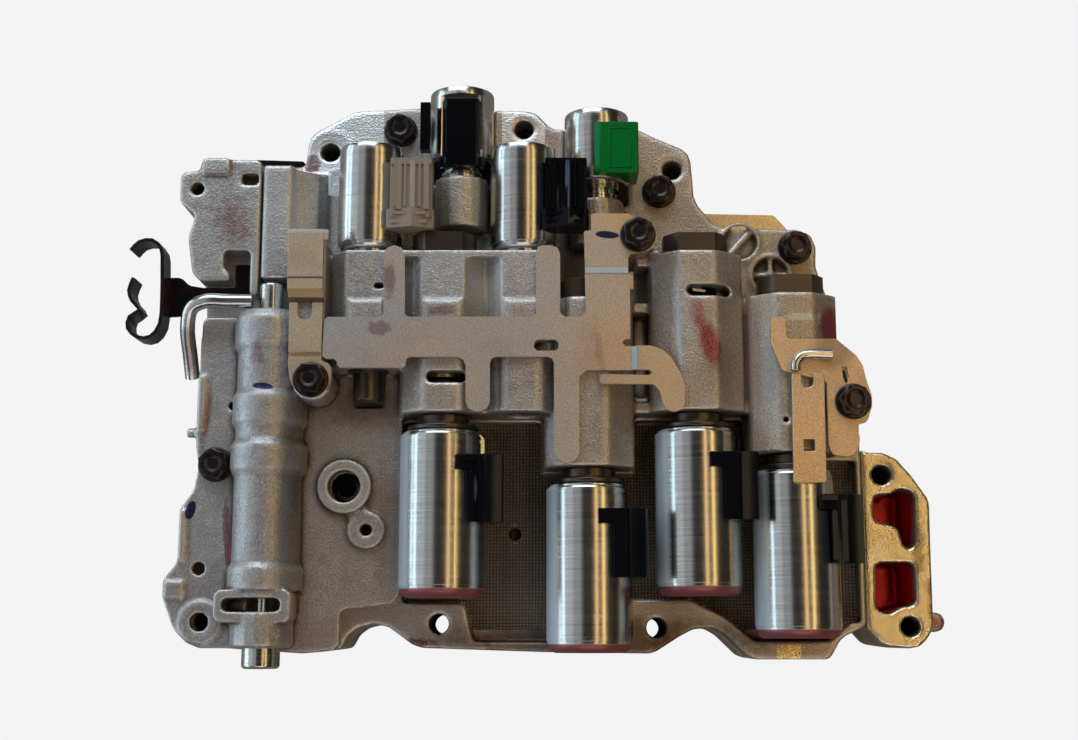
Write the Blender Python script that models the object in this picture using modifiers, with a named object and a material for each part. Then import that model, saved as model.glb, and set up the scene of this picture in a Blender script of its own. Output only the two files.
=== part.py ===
"""Valve body of an automatic transmission, lying on its rear mating face.

X runs to the right, Y up the body, and Z away from the mating face, towards the solenoids.
Every size and place is in millimetres and becomes metres where a mesh is made.
"""
import math

import bmesh
import bpy
from mathutils import Vector

MM = 0.001
GAP = 0.3
ARC_STEP = math.radians(50)
FILLET_LIMIT = 1.6
FLAT_ANGLE = math.radians(0.2)
BORE_TWIST = math.radians(7)

# Castings and the sheets between them, from the mating face up
REAR_HEIGHT = 20.0
SHEET = 1.0
MIDDLE_HEIGHT = 14.4
PANEL_HEIGHT = 4.4
BORE_RADIUS = 7.0
BORE_FLOOR = 1.9
BORE_ROOF = 5.1
BOSS_SHOULDER = 7.5
BOSS_FLAT = 6.0
PLATE = 1.8

MIDDLE_Z = REAR_HEIGHT + SHEET + 2 * GAP
MIDDLE_TOP = MIDDLE_Z + MIDDLE_HEIGHT
FRONT_Z = MIDDLE_TOP + SHEET + 2 * GAP
PANEL_TOP = FRONT_Z + PANEL_HEIGHT
BORE_Z = FRONT_Z + BORE_FLOOR + BORE_RADIUS
BOSS_TOP = BORE_Z + BORE_RADIUS + BORE_ROOF
PLATE_Z = BOSS_TOP + GAP
PLATE_TOP = PLATE_Z + PLATE
PLATE_FOLD = 1.2

# Valve lines: the bore's X, the half width of its boss, and the boss's two ends in Y
LINES = {
    "a": (-57.5, 12.5, -3.0, 37.0),
    "1": (-32.0, 14.6, -17.9, 37.0),
    "c": (-5.5, 12.5, -17.9, 37.0),
    "2": (16.6, 15.0, -35.6, 21.0),
    "3": (52.9, 15.7, -17.2, 36.8),
    "4": (85.0, 15.0, -31.0, 22.4),
}
LARGE_LINES = ("1", "2", "3", "4")
SMALL_LINES = ("a", "c")

# Solenoids, measured from the face of the boss outwards
LARGE_RADIUS = 14.2
LARGE_LENGTH = 54.6
LARGE_NECK = 5.5
CORE_RADIUS = 12.6
NOTCH_LENGTH = 13.8
NOTCH_X = 4.8
CORE_SHOWN = 8.6
LARGE_SOCKET = 22.1
CAN_TWIST = {"1": 0.0, "2": 10.0, "3": 10.0, "4": 0.0}
SMALL_RADIUS = 11.2
SMALL_LENGTH = 36.3
SMALL_NECK = 1.4
SLEEVE_DEPTH = 12.0
SMALL_DEPTH = 8.0
CAN_FLOOR_CLEARANCE = 3.0
SUMP_FLOOR = BORE_Z - LARGE_RADIUS - CAN_FLOOR_CLEARANCE

# The two short solenoids that sit deeper: X, the ends of the boss, and the far end of the can
SHORT_Z = BORE_Z - 8.0
SHORT_BOSS_RADIUS = 9.4
SHORT_SOLENOIDS = {"b": (-27.0, 48.0, 66.0), "d": (20.2, 42.0, 58.2)}
SHORT_NECK = 6.2
SHORT_NOSE_RADIUS = 5.4
SHORT_LENGTH = 25.5
SHORT_DEPTH = 11.0
GREEN_START = 6.6
GREEN_LENGTH = 18.2
FRONT_START = 2.9
FRONT_LENGTH = 24.0
COLLAR = 3.0
TROUGH_CLEARANCE = 0.6

# Spools and their springs
SPOOL_LENGTH = 26.0
SPOOL_SHORT = 14.0
SPOOL_GROOVE = 3.4
SPOOL_LAND = 0.3
SPRING_TURNS = 4
SPRING_POINTS = 7
SPRING_WIRE = 1.1
SPRING_RADIUS = 4.6
PLUG_DEPTH = 6.0
PLUG_STUB = 10.4
PLUG_HEAD = 6.4
PLUG_HALF = {"1": 10.8, "2": 9.2, "3": 10.8, "4": 10.8}
PLUG_INSET = 1.2

# Manual valve
MANUAL_X = -90.8
MANUAL_BORE = 6.6
MANUAL_WALL = 3.8
MANUAL_TUBE = MANUAL_BORE + MANUAL_WALL
MANUAL_Z = FRONT_Z + BORE_FLOOR + MANUAL_BORE
MANUAL_TOP_Y = 18.0
MANUAL_END_Y = -94.2
MANUAL_STICK_OUT = 6.6
MANUAL_STEM = 2.2
PIN_RADIUS = 4.1

BOLT_SHANK = 3.0
BOLT_HOLE = 3.4
BOLT_FLANGE = 5.9
BOLT_HEX = 5.3
BOLT_HEAD = 5.6

# Outlines are corners (x, y, fillet radius) that rounded() turns into arcs
FLANGE_X = 109.4
SUMP_WALL = 1.8
LEFT_EDGE = [
    (-115, 17, 2), (-115.6, -5, 8), (-115.8, -27, 2), (-114.6, -34, 8), (-115.8, -42, 3),
    (-120, -48, 3), (-120.3, -66, 3),
    (-124.8, -71.7, 1), (-124.8, -78, 1), (-121, -88, 5), (-114.5, -94.3, 6),
    (-103, -94.3, 1), (-78, -96, 2), (-66, -94.6, 1.5),
]
BOTTOM_EDGE = [
    (-62.5, -88, 5), (-52.4, -85.8, 6), (-40.8, -94.2, 6), (1.5, -95.6, 1), (38, -96.1, 4),
    (47.2, -90.3, 6), (54.2, -86.8, 8), (61, -88.6, 8), (70.7, -98, 4), (97, -98, 2),
    (101, -91, 4), (FLANGE_X, -87, 2),
]
FLANGE_EDGE = [
    (114.7, -93.2, 3), (127.5, -95, 7), (132.2, -88, 3), (132.8, -45, 4), (127, -36.5, 5),
    (120.3, -28.6, 6), (FLANGE_X, -28.6, 3),
]
RIGHT_EDGE = [(FLANGE_X, -7, 4), (100.4, -4, 3), (100.4, 24, 3), (96.5, 36, 3)]
TOP_EDGE = [
    (96.8, 49.5, 6), (62.2, 50.5, 4), (54.5, 60, 6), (53.4, 78, 6), (40.5, 83.5, 4), (35, 86.4, 4),
    (4.5, 86.4, 3), (-1.5, 93, 4), (-40.5, 94.3, 3), (-64.9, 93, 3), (-81.2, 84, 6),
    (-82.2, 72.5, 2),
]
REAR_TOP_EDGE = [(96.8, 43, 3), (88.7, 54.3, 2), (84.5, 59, 1), (55, 59.6, 1)] + TOP_EDGE[3:]
UPPER_LEFT_EDGE = [
    (-116.4, 72.5, 1.5), (-117.3, 68.4, 0.8), (-124, 67.5, 1.5), (-123.8, 57, 1.5),
    (-118.2, 52.5, 1.5), (-120.5, 44.5, 3), (-118.6, 32, 1.5), (-115.6, 28.9, 1),
]
SHEET_TAB = [(-84.6, 72.5, 0), (-84.6, 79.2, 1), (-103.3, 79.8, 1), (-103.3, 72.5, 0)]
MIDDLE_OUTLINE = LEFT_EDGE + BOTTOM_EDGE + RIGHT_EDGE + TOP_EDGE + UPPER_LEFT_EDGE
REAR_OUTLINE = LEFT_EDGE + BOTTOM_EDGE + FLANGE_EDGE + RIGHT_EDGE + REAR_TOP_EDGE + UPPER_LEFT_EDGE
SHEET_OUTLINE = LEFT_EDGE + BOTTOM_EDGE + RIGHT_EDGE + REAR_TOP_EDGE + SHEET_TAB + UPPER_LEFT_EDGE
BLOCK_SHOULDERS = [
    (-66, -81.8, 1.5), (-48.6, -79.9, 2), (-46, -76.5, 2), (-46, LINES["1"][2], 0.5),
    (0.8, LINES["c"][2], 0.5), (0.8, LINES["2"][2], 1), (32.4, LINES["2"][2], 1),
    (32.4, LINES["3"][2], 0.5), (69.5, LINES["3"][2], 0.5), (69.5, LINES["4"][2], 1),
    (99.8, LINES["4"][2], 2),
]
FRONT_OUTLINE = LEFT_EDGE + BLOCK_SHOULDERS + [
    (99.8, LINES["4"][3], 2), (69, LINES["4"][3], 0.5), (69, LINES["3"][3], 2),
    (37.5, LINES["3"][3], 2), (37.5, LINES["2"][3], 0.5), (7, LINES["2"][3], 0.5),
    (7, LINES["c"][3], 1), (-69.5, LINES["a"][3], 2), (-69.5, 17, 0.5),
]
SUMP_OUTLINE = [(x, y - 2 * GAP, 0) for x, y, r in BLOCK_SHOULDERS[3:]] + [
    (FLANGE_X - SUMP_WALL, -31.6, 0), (FLANGE_X - SUMP_WALL, -86, 0), (104, -86, 0), (97, -92, 1), (72, -92, 1), (62, -84, 3),
    (51, -78.4, 1), (30, -78.4, 1), (20, -92.5, 1), (-22, -92.2, 1), (-25, -79.6, 1), (-46, -79.4, 0),
]
UPPER_LEFT_OUTLINE = [
    (-95.9, 72, 1), (-95.9, 24, 1), (-98.9, 24, 1), (-98.9, 39.7, 0.8), (-107.9, 39.7, 0.8),
    (-107.9, 34, 0.8), (-105.8, 32, 1), (-105.8, 29.2, 0.5),
] + UPPER_LEFT_EDGE[::-1]

EAR_HOLES = [(-73.6, 77.9), (-5.3, 86.3), (46.8, 71.3), (-33.5, -86.3), (39.2, -87.6),
             (-112.1, -85.7)]
FLANGE_HOLES = [(116.7, -36.2), (124.6, -87.2)]
EAR_HOLE_RADIUS = 3.4
FLANGE_WINDOWS = [
    [(113.7, -43, 1.5), (119.8, -42.7, 1), (122.6, -40.8, 1), (127.7, -42, 1.5),
     (127.2, -61.2, 1.5), (123.2, -61.2, 1.5), (121.8, -54, 3), (113.4, -52, 1.5)],
    [(113.6, -65.7, 2), (126.6, -65.7, 1.5), (126.7, -80, 1.5), (121.5, -80.8, 2),
     (117.1, -83.4, 1.5), (113.2, -81.2, 2)],
]
WINDOW_FLOOR = 9.0
FLANGE_DROP = 1.4

BOLTS = {
    "bolt_1": (-48.8, 85.5, MIDDLE_TOP),
    "bolt_2": (42.1, 63.2, MIDDLE_TOP),
    "bolt_3": (32.8, 40.7, PLATE_TOP + PLATE_FOLD),
    "bolt_4": (89.2, 43.0, MIDDLE_TOP),
    "bolt_5": (-74.6, -7.8, PLATE_TOP),
    "bolt_6": (-108.6, -33.6, PANEL_TOP),
    "bolt_7": (102.4, -15.0, PLATE_TOP),
}
BOLT_REACH = 18.0
EAR_PAD = 7.2
PILLARS = {"bolt_3": 5.6, "bolt_5": 6.6, "bolt_7": 6.0}
BOLT_HOLES = {"rear": ("bolt_1", "bolt_2", "bolt_4"), "front": ("bolt_3", "bolt_5", "bolt_6", "bolt_7")}

PLATE_SLOT = [(-1.6, 5.6, 1), (-1.6, 1.9, 1), (6.4, 1.9, 1), (6.4, 5.6, 1)]

# Worm tracks milled in the rear face: the two ends of each
REAR_TRACKS = [
    (-100, -70, -60, -70), (-100, -50, -30, -50), (-95, -30, -95, 15), (-70, -10, -70, 55),
    (-45, 10, -45, 70), (-20, 35, 30, 35), (-20, 60, 35, 60), (20, -70, 95, -70),
    (40, -30, 95, -30), (70, -5, 70, 40),
]
TRACK_HALF = 3.5
TRACK_DEPTH = 6.0

# Small castings, sheets, tube and wire
UPPER_LEFT_HEIGHT = 9.5
COLUMN = 10.0
RECESS_DEPTH = 2.0
WIRE_RADIUS = 1.7
TUBE_RADIUS = 2.5
CLIP_SHEET = 1.2
CLIP_DEPTH = 10.0
RAISED_TAB = 3.2
BLIND_SLOT = 1.1
CROWN_STEP_Y = 19.6
CROWN_STEP = 1.0
END_WEB = 2.6
FOLD_Y = 28.3
FOLD_X = 30.6
FOLD_RUN = 1.6
LIP = 1.0
PORT_RADIUS = 5.4
PORT_DEPTH = 10.0
PORTS = ((-65.1, -41.1, 9.1, 3.2), (-57.7, -55.5, 6.4, 1.6))
# Slots in the crowns of the bosses: the valve line, X from its bore, Y, width, height
CROWN_SLOTS = (("1", 1.4, -6.2, 13.2, 3.8), ("3", 3.6, 23.0, 14.8, 3.7), ("a", 4.2, 24.6, 3.8, 2.0),
               ("4", -4.1, -20.5, 2.0, 2.0))


def collection(name):
    """A new collection of the scene."""
    made = bpy.data.collections.new(name)
    bpy.context.scene.collection.children.link(made)
    return made


def clear_scene():
    """Remove every object, so that the script can run in a used file."""
    for obj in list(bpy.data.objects):
        bpy.data.objects.remove(obj, do_unlink=True)


clear_scene()
PIECES = collection("transmission_valve_body")
CUTTERS = collection("cutters")


def finish(name, colour, roughness, metallic):
    """A plain Principled material."""
    made = bpy.data.materials.new(name)
    made.use_nodes = True
    shader = made.node_tree.nodes["Principled BSDF"]
    shader.inputs["Base Color"].default_value = (*colour, 1.0)
    shader.inputs["Roughness"].default_value = roughness
    shader.inputs["Metallic"].default_value = metallic
    made.diffuse_color = (*colour, 1.0)
    return made


CAST = finish("cast_aluminium", (0.32, 0.30, 0.28), 0.5, 0.9)
MACHINED = finish("machined_aluminium", (0.45, 0.40, 0.33), 0.35, 1.0)
CAN_STEEL = finish("bright_steel", (0.62, 0.62, 0.60), 0.2, 1.0)
PLATE_STEEL = finish("retainer_steel", (0.34, 0.28, 0.21), 0.45, 0.8)
DARK_STEEL = finish("oxide_steel", (0.05, 0.045, 0.04), 0.4, 0.9)
SPRING_STEEL = finish("spring_steel", (0.40, 0.39, 0.37), 0.3, 1.0)
BRASS = finish("brassy_spool", (0.55, 0.42, 0.22), 0.3, 1.0)
BLACK_PLASTIC = finish("black_plastic", (0.012, 0.012, 0.012), 0.2, 0.0)
GREY_PLASTIC = finish("grey_plastic", (0.30, 0.27, 0.24), 0.4, 0.0)
GREEN_PLASTIC = finish("green_plastic", (0.0, 0.13, 0.03), 0.3, 0.0)


def rounded(corners):
    """Closed outline of (x, y, radius) corners, each radius turned into an arc."""
    outline = []
    for index, (x, y, radius) in enumerate(corners):
        here = Vector((x, y))
        back = Vector(corners[index - 1][:2]) - here
        ahead = Vector(corners[(index + 1) % len(corners)][:2]) - here
        half = back.angle(ahead) / 2
        if radius <= 0 or half > math.radians(88):
            outline.append((x, y))
            continue
        reach = min(radius / math.tan(half), 0.45 * back.length, 0.45 * ahead.length)
        start = here + back.normalized() * reach
        end = here + ahead.normalized() * reach
        centre = here + (back.normalized() + ahead.normalized()).normalized() * reach / math.cos(half)
        turning = math.pi - 2 * half
        steps = 1 if radius < FILLET_LIMIT else max(1, math.ceil(turning / ARC_STEP))
        turn = (start - centre).angle_signed(end - centre) if steps > 1 else 0.0
        for step in range(steps + 1):
            if step == steps:
                outline.append(tuple(end))
                break
            angle = -turn * step / steps
            spoke = start - centre
            outline.append((centre.x + spoke.x * math.cos(angle) - spoke.y * math.sin(angle),
                            centre.y + spoke.x * math.sin(angle) + spoke.y * math.cos(angle)))
    return outline


def circle(x, y, radius, sides=12):
    """Outline of a round hole or pad."""
    angles = [2 * math.pi * step / sides for step in range(sides)]
    return [(x + radius * math.cos(angle), y + radius * math.sin(angle)) for angle in angles]


def arc(radius, start, end, steps):
    """Points on a circle round the origin, from one angle in degrees to another."""
    angles = [math.radians(start + (end - start) * step / steps) for step in range(steps + 1)]
    return [(radius * math.cos(angle), radius * math.sin(angle)) for angle in angles]


def rectangle(x0, x1, y0, y1):
    """Outline of a plain rectangle."""
    return [(x0, y0), (x1, y0), (x1, y1), (x0, y1)]


def shifted(outline, x, y):
    """An outline moved by (x, y)."""
    return [(px + x, py + y) for px, py in outline]


def ribbon(path, width):
    """Outline of a strip of even width along an open path."""
    left, right = [], []
    for index, point in enumerate(path):
        before = Vector(path[max(index - 1, 0)])
        after = Vector(path[min(index + 1, len(path) - 1)])
        side = (after - before).normalized().orthogonal() * width / 2
        left.append(tuple(Vector(point) + side))
        right.append(tuple(Vector(point) - side))
    return left + right[::-1]


def smooth(points, per_span=2):
    """Points along a Catmull-Rom curve through the given ones."""
    vectors = [Vector(point) for point in points]
    ends = [2 * vectors[0] - vectors[1]] + vectors + [2 * vectors[-1] - vectors[-2]]
    curve = []
    for a, b, c, d in zip(ends, ends[1:], ends[2:], ends[3:]):
        for step in range(per_span):
            t = step / per_span
            curve.append(0.5 * (2 * b + (c - a) * t + (2 * a - 5 * b + 4 * c - d) * t ** 2
                                + (3 * b - a - 3 * c + d) * t ** 3))
    return [tuple(point) for point in curve + [vectors[-1]]]


def from_curve(name, curve, place, turn):
    """Turn a curve into a closed, welded mesh object at its place."""
    guide = bpy.data.objects.new(name, curve)
    bpy.context.scene.collection.objects.link(guide)
    guide.location = Vector(place) * MM
    guide.rotation_euler = turn
    bpy.context.view_layer.update()
    graph = bpy.context.evaluated_depsgraph_get()
    mesh = bpy.data.meshes.new_from_object(guide.evaluated_get(graph))
    matrix = guide.matrix_world.copy()
    bpy.data.objects.remove(guide, do_unlink=True)
    work = bmesh.new()
    work.from_mesh(mesh)
    bmesh.ops.remove_doubles(work, verts=work.verts, dist=0.00001)
    bmesh.ops.recalc_face_normals(work, faces=work.faces)
    bmesh.ops.dissolve_limit(work, angle_limit=FLAT_ANGLE, verts=work.verts, edges=work.edges)
    work.to_mesh(mesh)
    work.free()
    mesh.name = name
    solid = bpy.data.objects.new(name, mesh)
    solid.matrix_world = matrix
    return solid


def extruded(name, loops, start, end, place=(0, 0), along_y=False):
    """Flat outline with holes, extruded from start to end along Z, or along Y as an (x, z) section."""
    curve = bpy.data.curves.new(name, "CURVE")
    curve.dimensions = "2D"
    curve.fill_mode = "BOTH"
    curve.extrude = abs(end - start) / 2 * MM
    for loop in loops:
        spline = curve.splines.new("POLY")
        spline.points.add(len(loop) - 1)
        for point, (x, y) in zip(spline.points, loop):
            point.co = (x * MM, y * MM, 0.0, 1.0)
        spline.use_cyclic_u = True
    middle = (start + end) / 2
    if along_y:
        return from_curve(name, curve, (place[0], middle, place[1]), (math.pi / 2, 0, 0))
    return from_curve(name, curve, (place[0], place[1], middle), (0, 0, 0))


def turned(name, profile, place, facing="z", sides=16, twist=0.0):
    """Screw a (radius, height) profile, listed from its top down, about Z, +Y or -Y."""
    mesh = bpy.data.meshes.new(name)
    points = [(radius * MM, 0.0, height * MM) for radius, height in profile]
    mesh.from_pydata(points, [(i, i + 1) for i in range(len(points) - 1)], [])
    solid = bpy.data.objects.new(name, mesh)
    screw = solid.modifiers.new("turned", "SCREW")
    screw.steps = sides
    screw.render_steps = sides
    screw.use_merge_vertices = True
    screw.merge_threshold = 0.00001
    solid.location = Vector(place) * MM
    solid.rotation_euler = {"z": (0, 0, twist), "up": (-math.pi / 2, twist, 0),
                            "down": (math.pi / 2, twist, 0)}[facing]
    return solid


def swept(name, points, radius, sides_level=2):
    """A round wire or tube along 3D points."""
    curve = bpy.data.curves.new(name, "CURVE")
    curve.dimensions = "3D"
    curve.bevel_depth = radius * MM
    curve.bevel_resolution = sides_level
    curve.use_fill_caps = True
    spline = curve.splines.new("POLY")
    spline.points.add(len(points) - 1)
    for point, place in zip(spline.points, points):
        point.co = (*(Vector(place) * MM), 1.0)
    return from_curve(name, curve, (0, 0, 0), (0, 0, 0))


def helper(solid):
    """Keep a cutter or a joined shape out of the finished pieces."""
    CUTTERS.objects.link(solid)
    solid.hide_render = True
    solid.display_type = "WIRE"
    return solid


def boolean(target, other, operation):
    """Add an exact Boolean to a piece."""
    if other.name not in CUTTERS.objects:
        helper(other)
    change = target.modifiers.new(other.name, "BOOLEAN")
    change.operation = operation
    change.object = other
    change.solver = "EXACT"


def cut(target, *others):
    """Take shapes out of a piece."""
    for other in others:
        boolean(target, other, "DIFFERENCE")


def join(target, *others):
    """Add shapes to a piece."""
    for other in others:
        boolean(target, other, "UNION")


def piece(solid, material):
    """Put a finished piece in its collection, shaded, with its material."""
    PIECES.objects.link(solid)
    solid.data.materials.clear()
    solid.data.materials.append(material)
    solid.data.shade_smooth()
    solid.data.set_sharp_from_angle(angle=math.radians(35))
    return solid


def baked(solid):
    """A mesh of a built shape, for copies that share it."""
    bpy.context.scene.collection.objects.link(solid)
    bpy.context.view_layer.update()
    graph = bpy.context.evaluated_depsgraph_get()
    mesh = bpy.data.meshes.new_from_object(solid.evaluated_get(graph))
    mesh.transform(solid.matrix_world)
    bpy.data.objects.remove(solid, do_unlink=True)
    return mesh


def bore_cutter(name, x, z, radius, start, end, twist=BORE_TWIST):
    """A round bore along Y."""
    profile = [(0, end), (radius, end), (radius, start), (0, start)]
    return turned(name, profile, (x, 0, z), "up", twist=twist)


def boss_section(half, base):
    """Section of a valve boss: a flat crown between bevelled and rounded flanks, in (x, z)."""
    return rounded([
        (-half, base, 0), (-half, BOSS_TOP - BOSS_SHOULDER, 3), (-BOSS_FLAT, BOSS_TOP, 2.5),
        (BOSS_FLAT, BOSS_TOP, 2.5), (half, BOSS_TOP - BOSS_SHOULDER, 3), (half, base, 0)])


def bolt_hole(name, floor, radius=BOLT_HOLE):
    """Clearance hole of one named bolt, down to a floor."""
    x, y, seat = BOLTS[name]
    return extruded("hole_" + name, [circle(x, y, radius, 12)], floor, seat + 5)


def ear_cutters(start, end, holes=EAR_HOLES):
    """Through holes of the mounting ears."""
    return [extruded("ear_hole", [circle(x, y, EAR_HOLE_RADIUS)], start, end) for x, y in holes]


def rear_casting():
    """Rear body: outline, raised port flange, ear holes and the worm tracks of its mating face."""
    body = extruded("rear_casting", [rounded(REAR_OUTLINE)], 0, MIDDLE_TOP - FLANGE_DROP)
    cut(body, extruded("above_flange", [rectangle(-150, FLANGE_X + GAP, -120, 120)], REAR_HEIGHT, MIDDLE_TOP))
    join(body, extruded("side_lug", [rounded([(130, -89, 0), (140.4, -89, 3.3), (140.4, -82.2, 3.3),
                                              (130, -82.2, 0)])], 12, REAR_HEIGHT - 1))
    cut(body, *ear_cutters(-1, MIDDLE_TOP, EAR_HOLES + FLANGE_HOLES))
    for window in FLANGE_WINDOWS:
        cut(body, extruded("window", [rounded(window)], WINDOW_FLOOR, MIDDLE_TOP))
    for x0, y0, x1, y1 in REAR_TRACKS:
        start, end = Vector((x0, y0)), Vector((x1, y1))
        side = (end - start).normalized().orthogonal() * TRACK_HALF
        corners = [start + side, start - side, end - side, end + side]
        track = rounded([(*corner, 1.5) for corner in corners])
        cut(body, extruded("track", [track], -1, TRACK_DEPTH))
    for name in BOLT_HOLES["rear"]:
        cut(body, bolt_hole(name, MIDDLE_TOP - BOLT_REACH - 1))
    return piece(body, CAST)


def separator(name, outline, start, cutters):
    """A steel sheet between two castings."""
    sheet = extruded(name, [rounded(outline)], start, start + SHEET)
    cut(sheet, *cutters)
    return piece(sheet, MACHINED)


def middle_casting():
    """Middle body: raised top with the solenoid troughs, sunk floor under the lower cans."""
    body = extruded("middle_casting", [rounded(MIDDLE_OUTLINE)], MIDDLE_Z, MIDDLE_TOP)
    for name, (x, start, end) in SHORT_SOLENOIDS.items():
        nose = [(0, end + 1), (SHORT_BOSS_RADIUS, end + 1), (SHORT_BOSS_RADIUS, start), (0, start)]
        join(body, turned("short_boss_" + name, nose, (x, 0, SHORT_Z), "up"))
    low, high = MIDDLE_TOP - 1, MIDDLE_TOP + COLUMN
    column = rounded([(-95.2, low, 0), (-95.2, high, 1), (-84.6, high, 2), (-84.6, low, 0)])
    flank = [(-90, low), (-90, high - 2), (-85.5, high - 1), (-77, high - 6), (-74.6, high - 9), (-74.6, low)]
    join(body, extruded("column", [column], 30, 70, along_y=True),
         extruded("column_flank", [flank], 42.5, 69, along_y=True))
    for line in SMALL_LINES:
        x, half, start, mouth = LINES[line]
        cut(body, bore_cutter("trough", x, BORE_Z, SMALL_RADIUS + TROUGH_CLEARANCE, mouth + 0.6,
                              mouth + SMALL_NECK + SMALL_LENGTH + 2))
    for x, start, end in SHORT_SOLENOIDS.values():
        cut(body, bore_cutter("trough", x, SHORT_Z, SMALL_RADIUS + TROUGH_CLEARANCE, end, 100))
        cut(body, bore_cutter("nose_bore", x, SHORT_Z, SHORT_NOSE_RADIUS + GAP, end - SHORT_DEPTH - 1,
                              end + 1,
                              -BORE_TWIST / 2))
    cut(body, bore_cutter("trough_2", LINES["2"][0], BORE_Z, LARGE_RADIUS + TROUGH_CLEARANCE, -100, -75))
    cut(body, extruded("sump", [rounded(SUMP_OUTLINE)], SUMP_FLOOR, MIDDLE_TOP + 1))
    for x, y, radius in ((70.1, 45.0, 6.0), (80.6, 33.4, 6.2)):
        cut(body, extruded("round_recess", [circle(x, y, radius, 16)], MIDDLE_TOP - RECESS_DEPTH,
                           MIDDLE_TOP + 1))
    cut(body, extruded("pillar_room", [circle(*BOLTS["bolt_3"][:2], PILLARS["bolt_3"] + GAP, 12)],
                       MIDDLE_TOP, BOSS_TOP))
    cut(body, *ear_cutters(MIDDLE_Z - 1, MIDDLE_TOP + 1))
    cut(body, extruded("sump_hole", [circle(-8.2, -56, 2.3, 12)], MIDDLE_Z + 3, MIDDLE_TOP),
        extruded("port_pocket", [circle(*PORTS[0][:2], PORT_RADIUS, 16)], MIDDLE_TOP - PORT_DEPTH, MIDDLE_TOP + 1))
    for name in BOLT_HOLES["rear"] + ("bolt_6",):
        cut(body, bolt_hole(name, MIDDLE_Z - 1))
    return piece(body, CAST)


def spool_slots():
    """Openings in the bosses that show the spools, as cutters."""
    slots = []
    for line, offset, y, width, height in CROWN_SLOTS:
        x, turn = LINES[line][0] + offset, height / 3
        slot = rounded([(*corner, turn) for corner in rectangle(x - width / 2, x + width / 2,
                                                                y - height / 2, y + height / 2)])
        slots.append(extruded("slot_" + line, [slot], BORE_Z + 1.3, BOSS_TOP + 1))
    return slots


def manual_boss():
    """Tube round the manual valve, with its cast rings, end block and window frame."""
    rings = ((16.1, 9.5, 0.9), (-10.2, -19.0, 1.0), (-26.4, -36.2, 1.4), (-67, -75, 0.9))
    profile = [(0, 17.6), (MANUAL_TUBE - 1, 17.6), (MANUAL_TUBE, 16.6)]
    for upper, lower, swell in rings:
        profile += [(MANUAL_TUBE, upper), (MANUAL_TUBE + swell, upper - 1.2),
                    (MANUAL_TUBE + swell, lower + 1.2), (MANUAL_TUBE, lower)]
    profile += [(MANUAL_TUBE, MANUAL_END_Y + 1), (MANUAL_TUBE - 1, MANUAL_END_Y), (0, MANUAL_END_Y)]
    tube = turned("manual_tube", profile, (MANUAL_X, 0, MANUAL_Z), "up")
    under = rectangle(MANUAL_X - 20, MANUAL_X + 20, MANUAL_END_Y - 10, MANUAL_TOP_Y + 10)
    cut(tube, extruded("tube_underside", [under], FRONT_Z - 20, FRONT_Z + 0.5))
    return tube


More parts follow.
